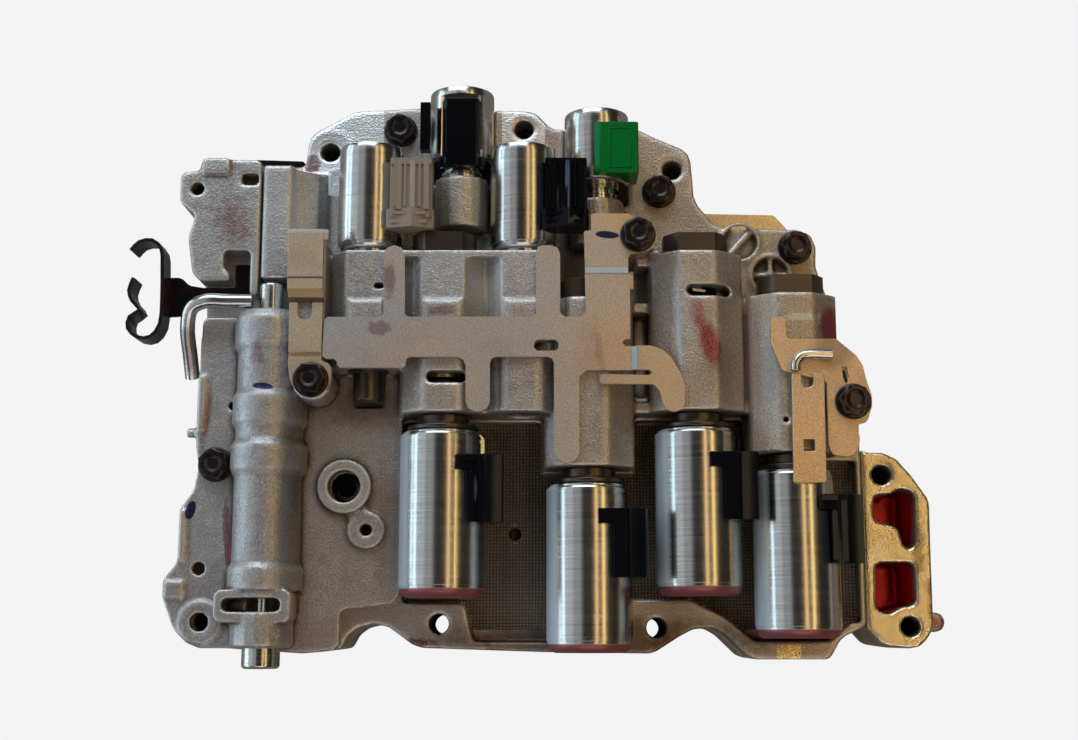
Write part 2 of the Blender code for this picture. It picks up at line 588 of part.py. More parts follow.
def front_casting():
    """Front body: panel, manual valve tube, and the block of bored bosses."""
    body = extruded("front_casting", [rounded(FRONT_OUTLINE)], FRONT_Z, PANEL_TOP)
    for line, (x, half, start, end) in LINES.items():
        join(body, extruded("boss_" + line, [boss_section(half, FRONT_Z + 0.5)], start + 0.05, end - 0.05,
                            (x, 0), along_y=True))
    mouth = LINES["c"][3]
    join(body, extruded("end_web", [rectangle(LINES["a"][0], LINES["c"][0], mouth - END_WEB, mouth - 0.1)],
                        FRONT_Z + 0.6, BOSS_TOP - 0.1))
    join(body, manual_boss())
    frame = rounded([(-105, -86, 1.5), (-80, -86, 1.5), (-80, -75.5, 1.5), (-105, -75.5, 1.5)])
    join(body, extruded("window_frame", [frame], FRONT_Z + 1, MANUAL_Z + MANUAL_TUBE - 1.2))
    for name, radius in PILLARS.items():
        x, y, seat = BOLTS[name]
        join(body, extruded("pillar_" + name, [circle(x, y, radius)], FRONT_Z, seat - PLATE - GAP))
    for name, line, drop in (("bolt_3", "3", 4), ("bolt_7", "4", 0)):
        x, y, seat = BOLTS[name]
        foot = min(y - 2, LINES[line][3] - drop)
        web = rectangle(x, LINES[line][0] + math.copysign(LINES[line][1] - 4, x - LINES[line][0]), foot,
                        max(y - 2, foot + 2))
        join(body, extruded("pillar_web", [web], FRONT_Z + 0.2, BOSS_TOP - BOSS_SHOULDER - 0.3))
    join(body, extruded("clamp_block", [rounded([(-82, -3, 1), (-71, -3, 1), (-71, 41, 1), (-82, 41, 1)])],
                        FRONT_Z, BOSS_TOP))
    for start, end, y in ((62, 78, 18.8), (62, 78, -15.4), (30, 44, 18.8), (30, 44, -15.4)):
        join(body, extruded("rib", [rectangle(start, end, y - 1.8, y + 1.7)], PANEL_TOP - 1, BOSS_TOP - 9))
    pad = rounded([(82.2, 6, 1), (93.2, 6, 1), (94, 15.4, 1), (81.4, 15.4, 1)])
    join(body, extruded("boss_pad", [pad], BOSS_TOP - 12, BOSS_TOP - 1.5))
    for x, y, radius, top in PORTS:
        join(body, extruded("port_ring", [circle(x, y, radius, 24)], PANEL_TOP - 1, PANEL_TOP + top))
    web = ribbon([PORTS[0][:2], PORTS[1][:2]], 7.0)
    join(body, extruded("port_web", [web], PANEL_TOP - 1, PANEL_TOP + LIP),
         extruded("ear_ring", [circle(*EAR_HOLES[5], EAR_PAD, 20)], PANEL_TOP - 1, PANEL_TOP + LIP),
         extruded("upper_lip", [ribbon([(-114.3, -3), (-114.4, -22)], 2.4)], PANEL_TOP - 1, PANEL_TOP + LIP),
         extruded("lower_lip", [ribbon([(-119, -48.6), (-119, -66)], 2.2)], PANEL_TOP - 1, PANEL_TOP + LIP),
         extruded("edge_block", [rectangle(-124.3, -118, -78, -72.3)], PANEL_TOP - 1, PANEL_TOP + LIP),
         fold_along_x("side_pin", circle(-22.6, FRONT_Z + 2.2, 1.7), -119.2, -114))
    cut(body, extruded("port", [circle(*PORTS[0][:2], PORT_RADIUS, 16)], FRONT_Z - 1, PANEL_TOP + 5))
    for x, y, radius in ((*PORTS[1][:2], 2.0), (-103.6, -13.6, 1.5), (-113.2, -68.2, 2.2)):
        cut(body, extruded("blind_hole", [circle(x, y, radius)], PANEL_TOP - 4, PANEL_TOP + 5))
    cut(body, extruded("left_ear", [circle(*EAR_HOLES[5], EAR_HOLE_RADIUS)], FRONT_Z - 1, PANEL_TOP + 1))
    window = rounded([(-102.6, -82.6, 2), (-83.4, -82.6, 2), (-83.4, -78.2, 2), (-102.6, -78.2, 2)])
    cut(body, extruded("manual_window", [window], MANUAL_Z - 2.7, MANUAL_Z + MANUAL_TUBE + 2))
    cut(body, extruded("crown_step", [rectangle(-69, 8, CROWN_STEP_Y, mouth + 2)], BOSS_TOP - CROWN_STEP,
                       BOSS_TOP + 2))
    cut(body, *spool_slots())
    cut(body, extruded("plate_slot_room", [rounded(PLATE_SLOT)], BOSS_TOP - 4.2, BOSS_TOP + 1))
    cut(body, bore_cutter("manual_bore", MANUAL_X, MANUAL_Z, MANUAL_BORE, MANUAL_END_Y - 4, MANUAL_TOP_Y + 1))
    for line, (x, half, start, end) in LINES.items():
        below = PLUG_STUB + 1 if line == "a" else 1
        cut(body, bore_cutter("bore_" + line, x, BORE_Z, BORE_RADIUS, start - below, end + 1))
    for name in BOLT_HOLES["front"]:
        cut(body, bolt_hole(name, FRONT_Z - 1))
    return piece(body, CAST)


def upper_left_casting():
    """Small cast cover with its rectangular opening and threaded hole."""
    body = extruded("upper_left_casting", [rounded(UPPER_LEFT_OUTLINE)], MIDDLE_TOP + GAP,
                    MIDDLE_TOP + UPPER_LEFT_HEIGHT)
    join(body, extruded("pad", [rounded([(-116.5, 66.8, 1), (-106.6, 66.8, 1), (-106.6, 72.4, 1),
                                         (-116.2, 72.4, 1)])], MIDDLE_TOP + 2,
                        MIDDLE_TOP + UPPER_LEFT_HEIGHT + 1.6))
    cut(body, extruded("opening", [rounded([(-102.6, 63.2, 0.6), (-96.9, 63.2, 0.6), (-96.9, 67.2, 0.6),
                                            (-102.6, 67.2, 0.6)])], MIDDLE_TOP - 1,
                       MIDDLE_TOP + UPPER_LEFT_HEIGHT + 1))
    cut(body, extruded("thread", [circle(-117.9, 61.8, 2.3, 12)], MIDDLE_TOP + 2,
                       MIDDLE_TOP + UPPER_LEFT_HEIGHT + 1))
    return piece(body, CAST)


def large_can():
    """Deep-drawn can with a stepped rim, a rounded end and the cut-out beside its connector."""
    radius, near, far = LARGE_RADIUS, LARGE_NECK, LARGE_NECK + LARGE_LENGTH
    profile = [(0, far), (radius - 2.6, far), (radius - 0.8, far - 1.0), (radius - 0.3, far - 3.4),
               (radius, far - 3.6), (radius, near + 0.8), (radius - 0.6, near), (0, near)]
    can = turned("large_can", profile, (0, 0, 0), "z", 24)
    notch = extruded("notch", [rectangle(NOTCH_X, radius + 2, -radius - 2, 4)], near - 1, near + NOTCH_LENGTH)
    cut(notch, turned("core", [(0, near + 20), (CORE_RADIUS, near + 20), (CORE_RADIUS, near - 5),
                               (0, near - 5)], (0, 0, 0), "z", 24))
    cut(can, notch)
    return baked(can)


def large_sleeve():
    """Turned sleeve between a large can and its bore."""
    ring, nozzle = CORE_RADIUS - 0.6, BORE_RADIUS - GAP
    profile = [(0, LARGE_NECK - GAP), (ring, LARGE_NECK - GAP), (ring, LARGE_NECK - 1.8),
               (nozzle + 2.2, LARGE_NECK - 2.2), (nozzle + 2.2, GAP), (nozzle, GAP),
               (nozzle, -SLEEVE_DEPTH + 1), (nozzle - 1, -SLEEVE_DEPTH), (0, -SLEEVE_DEPTH)]
    return turned("large_sleeve", profile, (0, 0, 0), "z")


def large_connector():
    """Moulded socket hugging the can's side, with its latch bridge in the cut-out."""
    start = LARGE_NECK + CORE_SHOWN
    hug = arc(LARGE_RADIUS + GAP, -8, -50, 5)
    section = [(17.2, 2.0)] + hug + [(9.6, -13.2), (13.9, -13.4), (15.0, -12.2), (20.0, -11.4),
                                     (20.4, -9.2), (18.3, -5.2), (17.2, -1.5)]
    body = extruded("large_connector", [section], start, start + LARGE_SOCKET)
    bridge = arc(CORE_RADIUS + GAP, -25, -66, 4) + [(5.2, -14.2), (12.6, -13.0)]
    join(body, extruded("bridge", [bridge], start, LARGE_NECK + NOTCH_LENGTH - GAP))
    return baked(body)


def small_can():
    """Can of a small solenoid with its pressed-in sleeve."""
    radius, neck, nozzle = SMALL_RADIUS, SMALL_NECK, BORE_RADIUS - GAP
    far = neck + SMALL_LENGTH
    profile = [(0, far), (radius - 1.0, far), (radius, far - 0.8), (radius, neck + 1.8),
               (radius - 0.7, neck + 0.9), (radius - 1.8, neck), (nozzle + 1.4, neck), (nozzle + 1.4, GAP),
               (nozzle, GAP), (nozzle, -SMALL_DEPTH), (0, -SMALL_DEPTH)]
    return turned("small_can", profile, (0, 0, 0), "z", 18)


def short_can(notched):
    """Can of a short solenoid on its long ringed nose, with a flat for the connector if notched."""
    radius, near, far = SMALL_RADIUS, SHORT_NECK, SHORT_NECK + SHORT_LENGTH
    nose = SHORT_NOSE_RADIUS
    profile = [(0, far), (radius - 1.0, far), (radius, far - 0.8), (radius, near),
               (nose + 2.4, near), (nose + 2.4, near - 2.2), (nose + 0.9, near - 2.4), (nose + 0.9, near - 3.6),
               (nose + 1.8, near - 3.8), (nose + 1.8, GAP), (nose, GAP), (nose, -SHORT_DEPTH), (0, -SHORT_DEPTH)]
    can = turned("short_can", profile, (0, 0, 0), "z", 18)
    if notched:
        flat_end = FRONT_START + FRONT_LENGTH + GAP
        cut(can, extruded("flat", [rectangle(-6.4, 6.8, -radius - 1, -8.6)], near - 1, flat_end))
        join(can, extruded("side_tab", [rectangle(-13.9, -10.4, -2.4, 2.4)], near + 2, near + 19))
    return can


def small_connector():
    """Moulded socket of a small solenoid: ribbed upper part on a wider skirt."""
    hug = arc(SMALL_RADIUS + GAP, -24, -50, 3)
    section = hug + [(7.6, -13.6), (20.6, -13.6), (21.6, -12.6), (21.6, -4.7)]
    body = extruded("small_connector", [section], 10.5, 31)
    skirt = arc(SMALL_RADIUS + GAP, -24, -56, 3) + [(6.4, -12.6), (15.0, -14.8), (22.2, -12.0), (22.2, -4.7)]
    join(body, extruded("skirt", [skirt], 7, 13.5))
    for x in (10.6, 15.2, 19.8):
        join(body, extruded("rib", [rectangle(x - 0.9, x + 0.9, -14.4, -13.2)], 13, 30))
    return baked(body)


def front_connector():
    """Flush socket of solenoid b, on the flat of its can, with its side tab."""
    section = rounded([(-6.0, -8.9, 0), (6.4, -8.9, 0), (6.4, -11.2, 1), (-6.0, -11.2, 1)])
    body = extruded("front_connector", [section], FRONT_START, FRONT_START + FRONT_LENGTH)
    collar = rounded([(-8.4, -8.2, 0), (8.4, -8.2, 0), (8.4, -10.6, 1.2), (-8.4, -10.6, 1.2)])
    join(body, extruded("collar", [collar], FRONT_START - 0.1, FRONT_START + COLLAR))
    return baked(body)


def green_connector():
    """Block-shaped socket of solenoid d."""
    hug = arc(SMALL_RADIUS + GAP, -6, -96, 8)
    section = hug + [(-1.4, -13.6), (0.6, -15.2), (13.2, -15.2), (13.8, -14.4), (13.8, -1.2)]
    return baked(extruded("green_connector", [section], GREEN_START, GREEN_START + GREEN_LENGTH))


def mirrored(mesh):
    """Turn a section drawn for a can that points up into one for a can that points down."""
    work = bmesh.new()
    work.from_mesh(mesh)
    bmesh.ops.scale(work, vec=(1, -1, 1), verts=work.verts)
    bmesh.ops.recalc_face_normals(work, faces=work.faces)
    work.to_mesh(mesh)
    work.free()
    return mesh


def placed(name, mesh, place, facing, material, twist=0.0):
    """A copy of a solenoid's mesh at the mouth of its bore, pointing up or down in Y."""
    copy = bpy.data.objects.new(name, mesh)
    copy.location = Vector(place) * MM
    copy.rotation_euler = (-math.pi / 2 if facing == "up" else math.pi / 2, math.radians(-twist), 0)
    return piece(copy, material)


def solenoids():
    """All eight solenoids with their sleeves and connectors."""
    can, sleeve, connector = mirrored(large_can()), baked(large_sleeve()), mirrored(large_connector())
    for line in LARGE_LINES:
        mouth = (LINES[line][0], LINES[line][2], BORE_Z)
        placed("solenoid_%s_can" % line, can, mouth, "down", CAN_STEEL, CAN_TWIST[line])
        placed("solenoid_%s_sleeve" % line, sleeve, mouth, "down", DARK_STEEL)
        placed("solenoid_%s_connector" % line, connector, mouth, "down", BLACK_PLASTIC,
               CAN_TWIST[line])
    can, connector = baked(small_can()), small_connector()
    for line, plastic in zip(SMALL_LINES, (GREY_PLASTIC, BLACK_PLASTIC)):
        mouth = (LINES[line][0], LINES[line][3], BORE_Z)
        placed("solenoid_%s_can" % line, can, mouth, "up", CAN_STEEL)
        placed("solenoid_%s_connector" % line, connector.copy(), mouth, "up", plastic)
    for line, (x, start, end) in SHORT_SOLENOIDS.items():
        mouth = (x, end, SHORT_Z)
        placed("solenoid_%s_can" % line, baked(short_can(line == "b")), mouth, "up", CAN_STEEL)
        if line == "b":
            placed("solenoid_b_connector", front_connector(), mouth, "up", BLACK_PLASTIC)
        else:
            placed("solenoid_d_connector", green_connector(), mouth, "up", GREEN_PLASTIC)


def spool_profile(length, radius):
    """Two lands and the waist between them, from the top down."""
    waist, low, high = radius - SPOOL_GROOVE, length * SPOOL_LAND, length * (1 - SPOOL_LAND)
    return [(0, length), (radius, length), (radius, high), (waist, high - 0.4), (waist, low + 0.4),
            (radius, low), (radius, 0), (0, 0)]


def coil(name, x, start, end):
    """A compression spring along a bore."""
    count = SPRING_TURNS * SPRING_POINTS
    pitch = (end - start - 2 * SPRING_WIRE) / count
    points = []
    for step in range(count + 1):
        angle = 2 * math.pi * step / SPRING_POINTS
        points.append((x + SPRING_RADIUS * math.cos(angle), start + SPRING_WIRE + pitch * step,
                       BORE_Z + SPRING_RADIUS * math.sin(angle)))
    return piece(swept(name, points, SPRING_WIRE / 2, 0), SPRING_STEEL)


def valve_trains():
    """Spool, return spring and plug of every line."""
    land = BORE_RADIUS - GAP
    for line in LARGE_LINES:
        x, half, start, end = LINES[line]
        base = start + SLEEVE_DEPTH + GAP
        spool = spool_profile(SPOOL_LENGTH, land)
        piece(turned("spool_" + line, spool, (x, base, BORE_Z), "up", 12), BRASS)
        coil("spring_" + line, x, base + SPOOL_LENGTH + GAP, end - PLUG_DEPTH - GAP)
        wide = PLUG_HALF[line]
        shape = rounded([(-wide, -4, 2), (wide, -4, 2), (wide, 4.5, 0.8), (6.5, 10, 0.8),
                         (-6.5, 10, 0.8), (-wide, 4.5, 0.8)])
        plug = extruded("plug_" + line, [shape], end + GAP, end + PLUG_HEAD, (x, BORE_Z), along_y=True)
        join(plug, bore_cutter("spigot", x, BORE_Z, land, end - PLUG_DEPTH, end + 1))
        piece(plug, DARK_STEEL)
    for line in SMALL_LINES:
        x, half, start, end = LINES[line]
        base = end - SMALL_DEPTH - GAP - SPOOL_SHORT
        piece(turned("spool_" + line, spool_profile(SPOOL_SHORT, land), (x, base, BORE_Z), "up", 12), BRASS)
        coil("spring_" + line, x, start + PLUG_DEPTH + GAP, base - GAP)
        stub = land - 1.7
        if line == "a":
            foot = [(land, -GAP), (stub, -GAP), (stub, 0.8 - PLUG_STUB), (stub - 0.8, -PLUG_STUB), (0, -PLUG_STUB)]
        else:
            foot = [(land, PLUG_INSET), (0, PLUG_INSET)]
        profile = [(0, PLUG_DEPTH), (land, PLUG_DEPTH)] + foot
        piece(turned("plug_" + line, profile, (x, start, BORE_Z), "up", 16), DARK_STEEL)


def manual_valve():
    """Manual spool: four lands on a slim stem, its plain end outside the bore."""
    land, stem = MANUAL_BORE - GAP, MANUAL_STEM
    end = MANUAL_END_Y - MANUAL_STICK_OUT
    profile = [(0, 6), (land, 6), (land, -6), (stem, -6.4), (stem, -17.6), (land, -18), (land, -36),
               (stem, -36.4), (stem, -51.6), (land, -52), (land, -71), (stem, -71.4), (stem, -86.6),
               (land, -87), (land, end + 0.8), (land - 0.8, end), (0, end)]
    spool = turned("manual_valve", profile, (MANUAL_X, 0, MANUAL_Z), "up")
    piece(spool, BRASS)
    top = MANUAL_TOP_Y - 0.4
    pin = [(0, 27.5), (PIN_RADIUS - 0.5, 27.5), (PIN_RADIUS, 27), (PIN_RADIUS, top), (land, top),
           (land, top - 4), (0, top - 4)]
    piece(turned("manual_bore_plug", pin, (MANUAL_X, 0, MANUAL_Z), "up", 16), CAN_STEEL)


def retainer_plate():
    """Large sheet that holds the solenoids: fingers up and down, a bolted tab and a hooked ear."""
    low, high = PLATE_Z + PLATE_FOLD, PLATE_TOP + PLATE_FOLD
    fold = [(PLATE_Z, 0), (low, 1), (high, 1), (PLATE_TOP, 0)]
    outline = rounded([
        (-66.2, -3.8, 1), (-66.2, -0.8, 1), (-71, -0.8, 1), (-71, 4.2, 1), (-70.6, 13.2, 1),
        (-51.3, 13.3, 1), (-51.5, 37.5, 3.4), (-44.6, 37.5, 3.4), (-44.2, 13.3, 1), (-1, 13.3, 1),
        (-1, 37.5, 2), (7, 37.5, 3), (7, 13.3, 1.5), (15.4, 13.3, 1.5), (15.2, FOLD_Y, 0),
        (30, FOLD_Y, 0), (30, 5.8, 0), (27.4, 5.8, 1), (27.4, 3.4, 1), (FOLD_X, 3.4, 0),
        (FOLD_X, -4.6, 0), (15.2, -4.6, 1.5), (13.2, -7, 1),
        (13, -35.1, 3.6), (4.9, -35.1, 3.6), (4.9, -0.1, 2), (-16.1, -0.1, 2), (-16, -18.3, 3.4),
        (-24, -18.3, 3.4), (-24, -0.1, 3), (-43.7, -0.1, 2), (-43.7, -3.8, 1)])
    tab = rounded([
        (15.2, FOLD_Y + FOLD_RUN, 0), (14.9, 42.2, 0.5), (17.3, 42.2, 0.5), (17.3, 48.1, 0.6),
        (29.4, 48.1, 1), (39, 44, 4), (39, 36, 4), (29.5, 34, 1), (29.5, FOLD_Y + FOLD_RUN, 0)])
    hook = rounded([
        (FOLD_X + FOLD_RUN, 3.4, 0), (37.1, 3.4, 4), (42.3, 1.1, 5), (46.4, -6.2, 6), (47.7, -9.9, 4),
        (47.4, -18.4, 3), (40.9, -18.4, 3), (39.4, -11.5, 3), (37.4, -9.4, 1), (19.8, -9.3, 0.6),
        (19.7, -6.1, 0.6), (36.8, -6.4, 0.8), (36.8, -4.6, 0.8), (FOLD_X + FOLD_RUN, -4.6, 0)])
    plate = extruded("solenoid_retainer_plate", [outline, rounded(PLATE_SLOT)], PLATE_Z, PLATE_TOP)
    join(plate, extruded("bolted_tab", [tab], low, high), extruded("hook", [hook], low, high),
         fold_along_x("tab_fold", [(FOLD_Y - 0.2 + (FOLD_RUN + 0.4) * step, z) for z, step in fold], 15.2, 29.5),
         extruded("hook_fold", [[(FOLD_X - 0.2 + (FOLD_RUN + 0.4) * step, z) for z, step in fold]],
                  -4.5, 3.3, along_y=True),
         extruded("side_lip", [rectangle(29.5, 31.2, 22.8, FOLD_Y + 0.2)], PLATE_Z + 0.2, PLATE_TOP - 0.3))
    cut(plate, bolt_hole("bolt_3", BOSS_TOP - 1))
    return piece(plate, PLATE_STEEL)


def left_clamp():
    """Folded clamp at the left: raised upper tab, notched lower plate and bolted eye."""
    lower = rounded([
        (-82.4, 19.7, 1), (-79.6, 19.7, 0.5), (-79.6, 12.2, 2.3), (-74.8, 12.2, 2.3), (-74.8, 19.7, 0.5),
        (-71.4, 19.7, 0.5), (-71.4, -1.4, 0.5), (-68, -2.8, 1.5), (-68, -12, 5), (-81, -12, 5),
        (-82.2, -2, 2)])
    clamp = extruded("left_clamp_bracket", [lower], PLATE_Z, PLATE_TOP)
    low, high = PLATE_Z + RAISED_TAB, PLATE_TOP + RAISED_TAB
    fold = [(18.4, PLATE_Z), (20.9, PLATE_Z), (23, low), (42.2, low), (42.2, high), (22.2, high),
            (19.6, PLATE_TOP), (18.4, PLATE_TOP)]
    join(clamp, fold_along_x("raised_tab", fold, -82.7, -71.1),
         extruded("tab_ear", [rectangle(-72, -69.7, 38.6, 42.1)], low + 0.1, high - 0.1))
    cut(clamp, extruded("joggle", [rectangle(-84, -66, -0.2, 1.4)], PLATE_TOP - BLIND_SLOT, PLATE_TOP + 1))
    cut(clamp, bolt_hole("bolt_5", BOSS_TOP - 1))
    return piece(clamp, PLATE_STEEL)


def fold_along_x(name, section, start, end):
    """A (y, z) section extruded along X."""
    mesh = bpy.data.meshes.new(name)
    work = bmesh.new()
    ring = [work.verts.new((start * MM, y * MM, z * MM)) for y, z in section]
    face = work.faces.new(ring)
    grown = bmesh.ops.extrude_face_region(work, geom=[face])
    moved = [item for item in grown["geom"] if isinstance(item, bmesh.types.BMVert)]
    bmesh.ops.translate(work, vec=((end - start) * MM, 0, 0), verts=moved)
    bmesh.ops.recalc_face_normals(work, faces=work.faces)
    work.to_mesh(mesh)
    work.free()
    return bpy.data.objects.new(name, mesh)


def right_brackets():
    """Cut sheet at the right, the strip over it and the bent wire between them."""
    outline = rounded([
        (76.4, 13.0, 0.6), (81.2, 13.0, 0.6), (81.2, 5.9, 1), (97.5, 5.9, 1), (105.6, -1, 6),
        (107, -7.6, 1), (109.2, -15, 6), (106.8, -21.6, 1), (103.4, -22.6, 1), (104.4, -28, 3),
        (102, -33, 3), (95, -32.6, 3), (94, -29, 1), (94, -8.2, 1), (79.6, -4.6, 1), (76.1, 4.5, 1)])
    bracket = extruded("right_bracket", [outline], PLATE_Z, PLATE_TOP)
    cut(bracket, bolt_hole("bolt_7", BOSS_TOP - 1))
    cut(bracket, extruded("slanted_slot", [shifted(ribbon([(-0.4, 2.0), (0.4, -2.0)], 1.6), 100.2, -5.4)],
                          PLATE_TOP - BLIND_SLOT, PLATE_TOP + 1))
    piece(bracket, PLATE_STEEL)
    strip_z = PLATE_TOP + GAP
    outline = rounded([(82.4, -5.8, 0.5), (85.4, -5.8, 0.5), (85.4, -10.6, 1.6), (89.4, -10.6, 1.6),
                       (89.4, -5.8, 0.5), (93, -5.8, 0.5), (92.6, -41.7, 0.6), (82, -41.7, 0.6)])
    window = rectangle(85.6, 89.2, -31.4, -27.6)
    strip = extruded("strip_plate", [outline, window], strip_z, strip_z + PLATE)
    piece(strip, PLATE_STEEL)
    wire_z = strip_z + WIRE_RADIUS
    route = smooth([(83.7, -5.2, wire_z), (83.9, -2.6, wire_z), (85.8, -0.2, wire_z), (89, 0.4, wire_z),
                    (95.8, 0.2, wire_z)])
    piece(swept("retainer_wire_pin", route, WIRE_RADIUS, 2), CAN_STEEL)


def lube_tube():
    """Bent steel tube from the upper-left block, round the panel's edge and down behind it."""
    z = PANEL_TOP + 8
    route = smooth([(-96.6, 20.9, z), (-105, 20.9, z), (-112.5, 20.9, z), (-117.6, 18.4, z - 1.5),
                    (-119.3, 12, z - 5), (-119.2, 4, z - 10), (-119, -3, z - 14)], 3)
    return piece(swept("lube_tube", route, TUBE_RADIUS, 2), CAN_STEEL)


def harness_clip():
    """Spring-steel clip: two curled hooks on a spine, and the arm that lies on the casting."""
    z = MIDDLE_TOP + GAP
    spine = smooth([(-139.6, 39.6), (-136.8, 42.6), (-132.4, 43.2), (-129.2, 40), (-128.6, 34), (-128.2, 22),
                    (-128.6, 14), (-131.6, 9.6), (-136, 9.4), (-139.4, 12.4), (-139, 16.4), (-135.8, 18.8),
                    (-138.4, 22), (-139.6, 25.6), (-138.2, 30)])
    clip = extruded("harness_clip", [ribbon(spine, CLIP_SHEET)], z, z + CLIP_DEPTH)
    arm = rounded([(-128.9, 32, 0), (-124, 32, 2), (-121, 29.2, 2), (-116.2, 28.4, 1), (-105.2, 28.4, 0.5),
                   (-105.2, 36.5, 0.5), (-99.4, 36.5, 0.5), (-99.4, 23.4, 0.5), (-114, 23.4, 1),
                   (-121.5, 18.5, 2), (-128.9, 18, 0)])
    join(clip, extruded("arm", [arm], z, z + CLIP_SHEET))
    return piece(clip, DARK_STEEL)


def bolts():
    """Hexagon flange bolts with a dished recess; all share one mesh."""
    profile = [(0, 2.4), (BOLT_HEX - 1, 2.4), (BOLT_FLANGE, 1.2), (BOLT_FLANGE, GAP), (BOLT_SHANK, GAP),
               (BOLT_SHANK, -BOLT_REACH), (0, -BOLT_REACH)]
    bolt = turned("bolt", profile, (0, 0, 0), "z", 12)
    hexagon = extruded("hexagon", [circle(0, 0, BOLT_HEX, 6)], 1.9, BOLT_HEAD)
    join(bolt, hexagon)
    cut(bolt, turned("dish", [(0, BOLT_HEAD + 1), (3.4, BOLT_HEAD + 1), (2.6, BOLT_HEAD - 1.8),
                              (0, BOLT_HEAD - 1.8)], (0, 0, 0), "z", 6))
    mesh = baked(bolt)
    for name, (x, y, seat) in BOLTS.items():
        screw = bpy.data.objects.new(name, mesh)
        screw.location = Vector((x, y, seat)) * MM
        piece(screw, DARK_STEEL)


def build():
    """Make every piece, from the mating face up."""
    rear_casting()
    layer_cutters = ear_cutters(REAR_HEIGHT - 1, MIDDLE_Z + 1)
    for name in BOLT_HOLES["rear"]:
        layer_cutters.append(bolt_hole(name, REAR_HEIGHT - 1))
    separator("rear_separator_plate", SHEET_OUTLINE, REAR_HEIGHT + GAP, layer_cutters)
    middle_casting()
    port_cutters = [extruded("port", [circle(*PORTS[0][:2], PORT_RADIUS)], MIDDLE_TOP, FRONT_Z),
                    extruded("left_ear", [circle(*EAR_HOLES[5], EAR_HOLE_RADIUS)], MIDDLE_TOP, FRONT_Z)]
    port_cutters += [bolt_hole(name, MIDDLE_TOP) for name in BOLT_HOLES["front"]]
    separator("front_separator_plate", FRONT_OUTLINE, MIDDLE_TOP + GAP, port_cutters)
    front_casting()
    upper_left_casting()
    solenoids()
    valve_trains()
    manual_valve()
    retainer_plate()
    left_clamp()
    right_brackets()
    lube_tube()
    harness_clip()
    bolts()


build()
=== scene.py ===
"""The looks of a transmission valve body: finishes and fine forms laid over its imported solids.

X runs to the right, Y up the body and Z away from the rear mating face, in metres.
"""

import bmesh
import bpy
import numpy as np
from mathutils import Matrix, Vector


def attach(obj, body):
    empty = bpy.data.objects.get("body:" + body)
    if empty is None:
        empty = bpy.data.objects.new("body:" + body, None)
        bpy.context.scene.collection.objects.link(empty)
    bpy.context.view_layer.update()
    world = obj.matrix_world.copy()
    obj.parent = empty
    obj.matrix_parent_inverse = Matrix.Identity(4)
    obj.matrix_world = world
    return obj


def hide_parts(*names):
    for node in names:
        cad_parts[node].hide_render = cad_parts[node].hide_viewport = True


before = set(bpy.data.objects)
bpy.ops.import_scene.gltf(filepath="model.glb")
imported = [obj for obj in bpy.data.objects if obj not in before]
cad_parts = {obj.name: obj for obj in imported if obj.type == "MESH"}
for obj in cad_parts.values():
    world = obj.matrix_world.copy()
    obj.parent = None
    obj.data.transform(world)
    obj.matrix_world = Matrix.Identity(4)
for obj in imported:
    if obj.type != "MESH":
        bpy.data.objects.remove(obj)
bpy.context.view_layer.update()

# Camera, floor and lamps.
# The unit lies on a pale bench and is seen almost square from above. A cool soft box stands to its
# left and two narrow warm strips to its right, which draw the long lines on the bright cans.
camera_data = bpy.data.cameras.new("bench_camera")
camera_data.lens = 50.09
camera_data.clip_start = 0.01
camera = bpy.data.objects.new("bench_camera", camera_data)
camera.location = (0.0, -0.0898, 0.5441)
camera.rotation_euler = (np.radians(10.0), 0.0, 0.0)
bpy.context.scene.collection.objects.link(camera)
bpy.context.scene.camera = camera
bpy.context.scene.view_settings.view_transform = "Standard"


def lamp(name, place, size, power, colour):
    """A rectangular soft box that faces the middle of the unit; its long side runs along Y."""
    data = bpy.data.lights.new(name, "AREA")
    data.shape = "RECTANGLE"
    data.size, data.size_y = size
    data.energy = power
    data.color = colour
    box = bpy.data.objects.new(name, data)
    box.location = place
    back = (Vector(place) - Vector((0.0, 0.0, 0.04))).normalized()
    across = Vector((0.0, 1.0, 0.0)).cross(back).normalized()
    box.rotation_euler = Matrix((across, back.cross(across), back)).transposed().to_euler()
    bpy.context.scene.collection.objects.link(box)


lamp("cool_window_low", (-0.95, 0.0, 0.03), (0.22, 1.5), 3.0, (0.72, 0.90, 1.0))
lamp("cool_window_high", (-0.95, 0.0, 0.31), (0.15, 1.5), 1.8, (0.72, 0.90, 1.0))
lamp("grey_wall_low", (-0.85, 0.0, 0.66), (0.42, 1.6), 1.15, (0.93, 0.97, 1.0))
lamp("grey_wall_high", (-0.56, 0.0, 0.98), (0.36, 1.6), 0.62, (0.97, 0.97, 1.0))
lamp("warm_strip_near", (0.27, 0.0, 0.88), (0.09, 1.5), 0.95, (1.0, 0.64, 0.30))
lamp("warm_strip_far", (0.52, 0.0, 0.74), (0.085, 1.5), 1.15, (1.0, 0.70, 0.26))
lamp("low_warm_line", (1.1, 0.0, 0.12), (0.10, 1.2), 0.20, (1.0, 0.86, 0.70))
lamp("top_fill", (-0.30, 1.25, 0.85), (1.4, 0.8), 11.5, (0.87, 0.95, 1.0))
lamp("front_fill", (0.1, -1.1, 0.9), (1.2, 0.5), 2.6, (1.0, 0.93, 0.86))


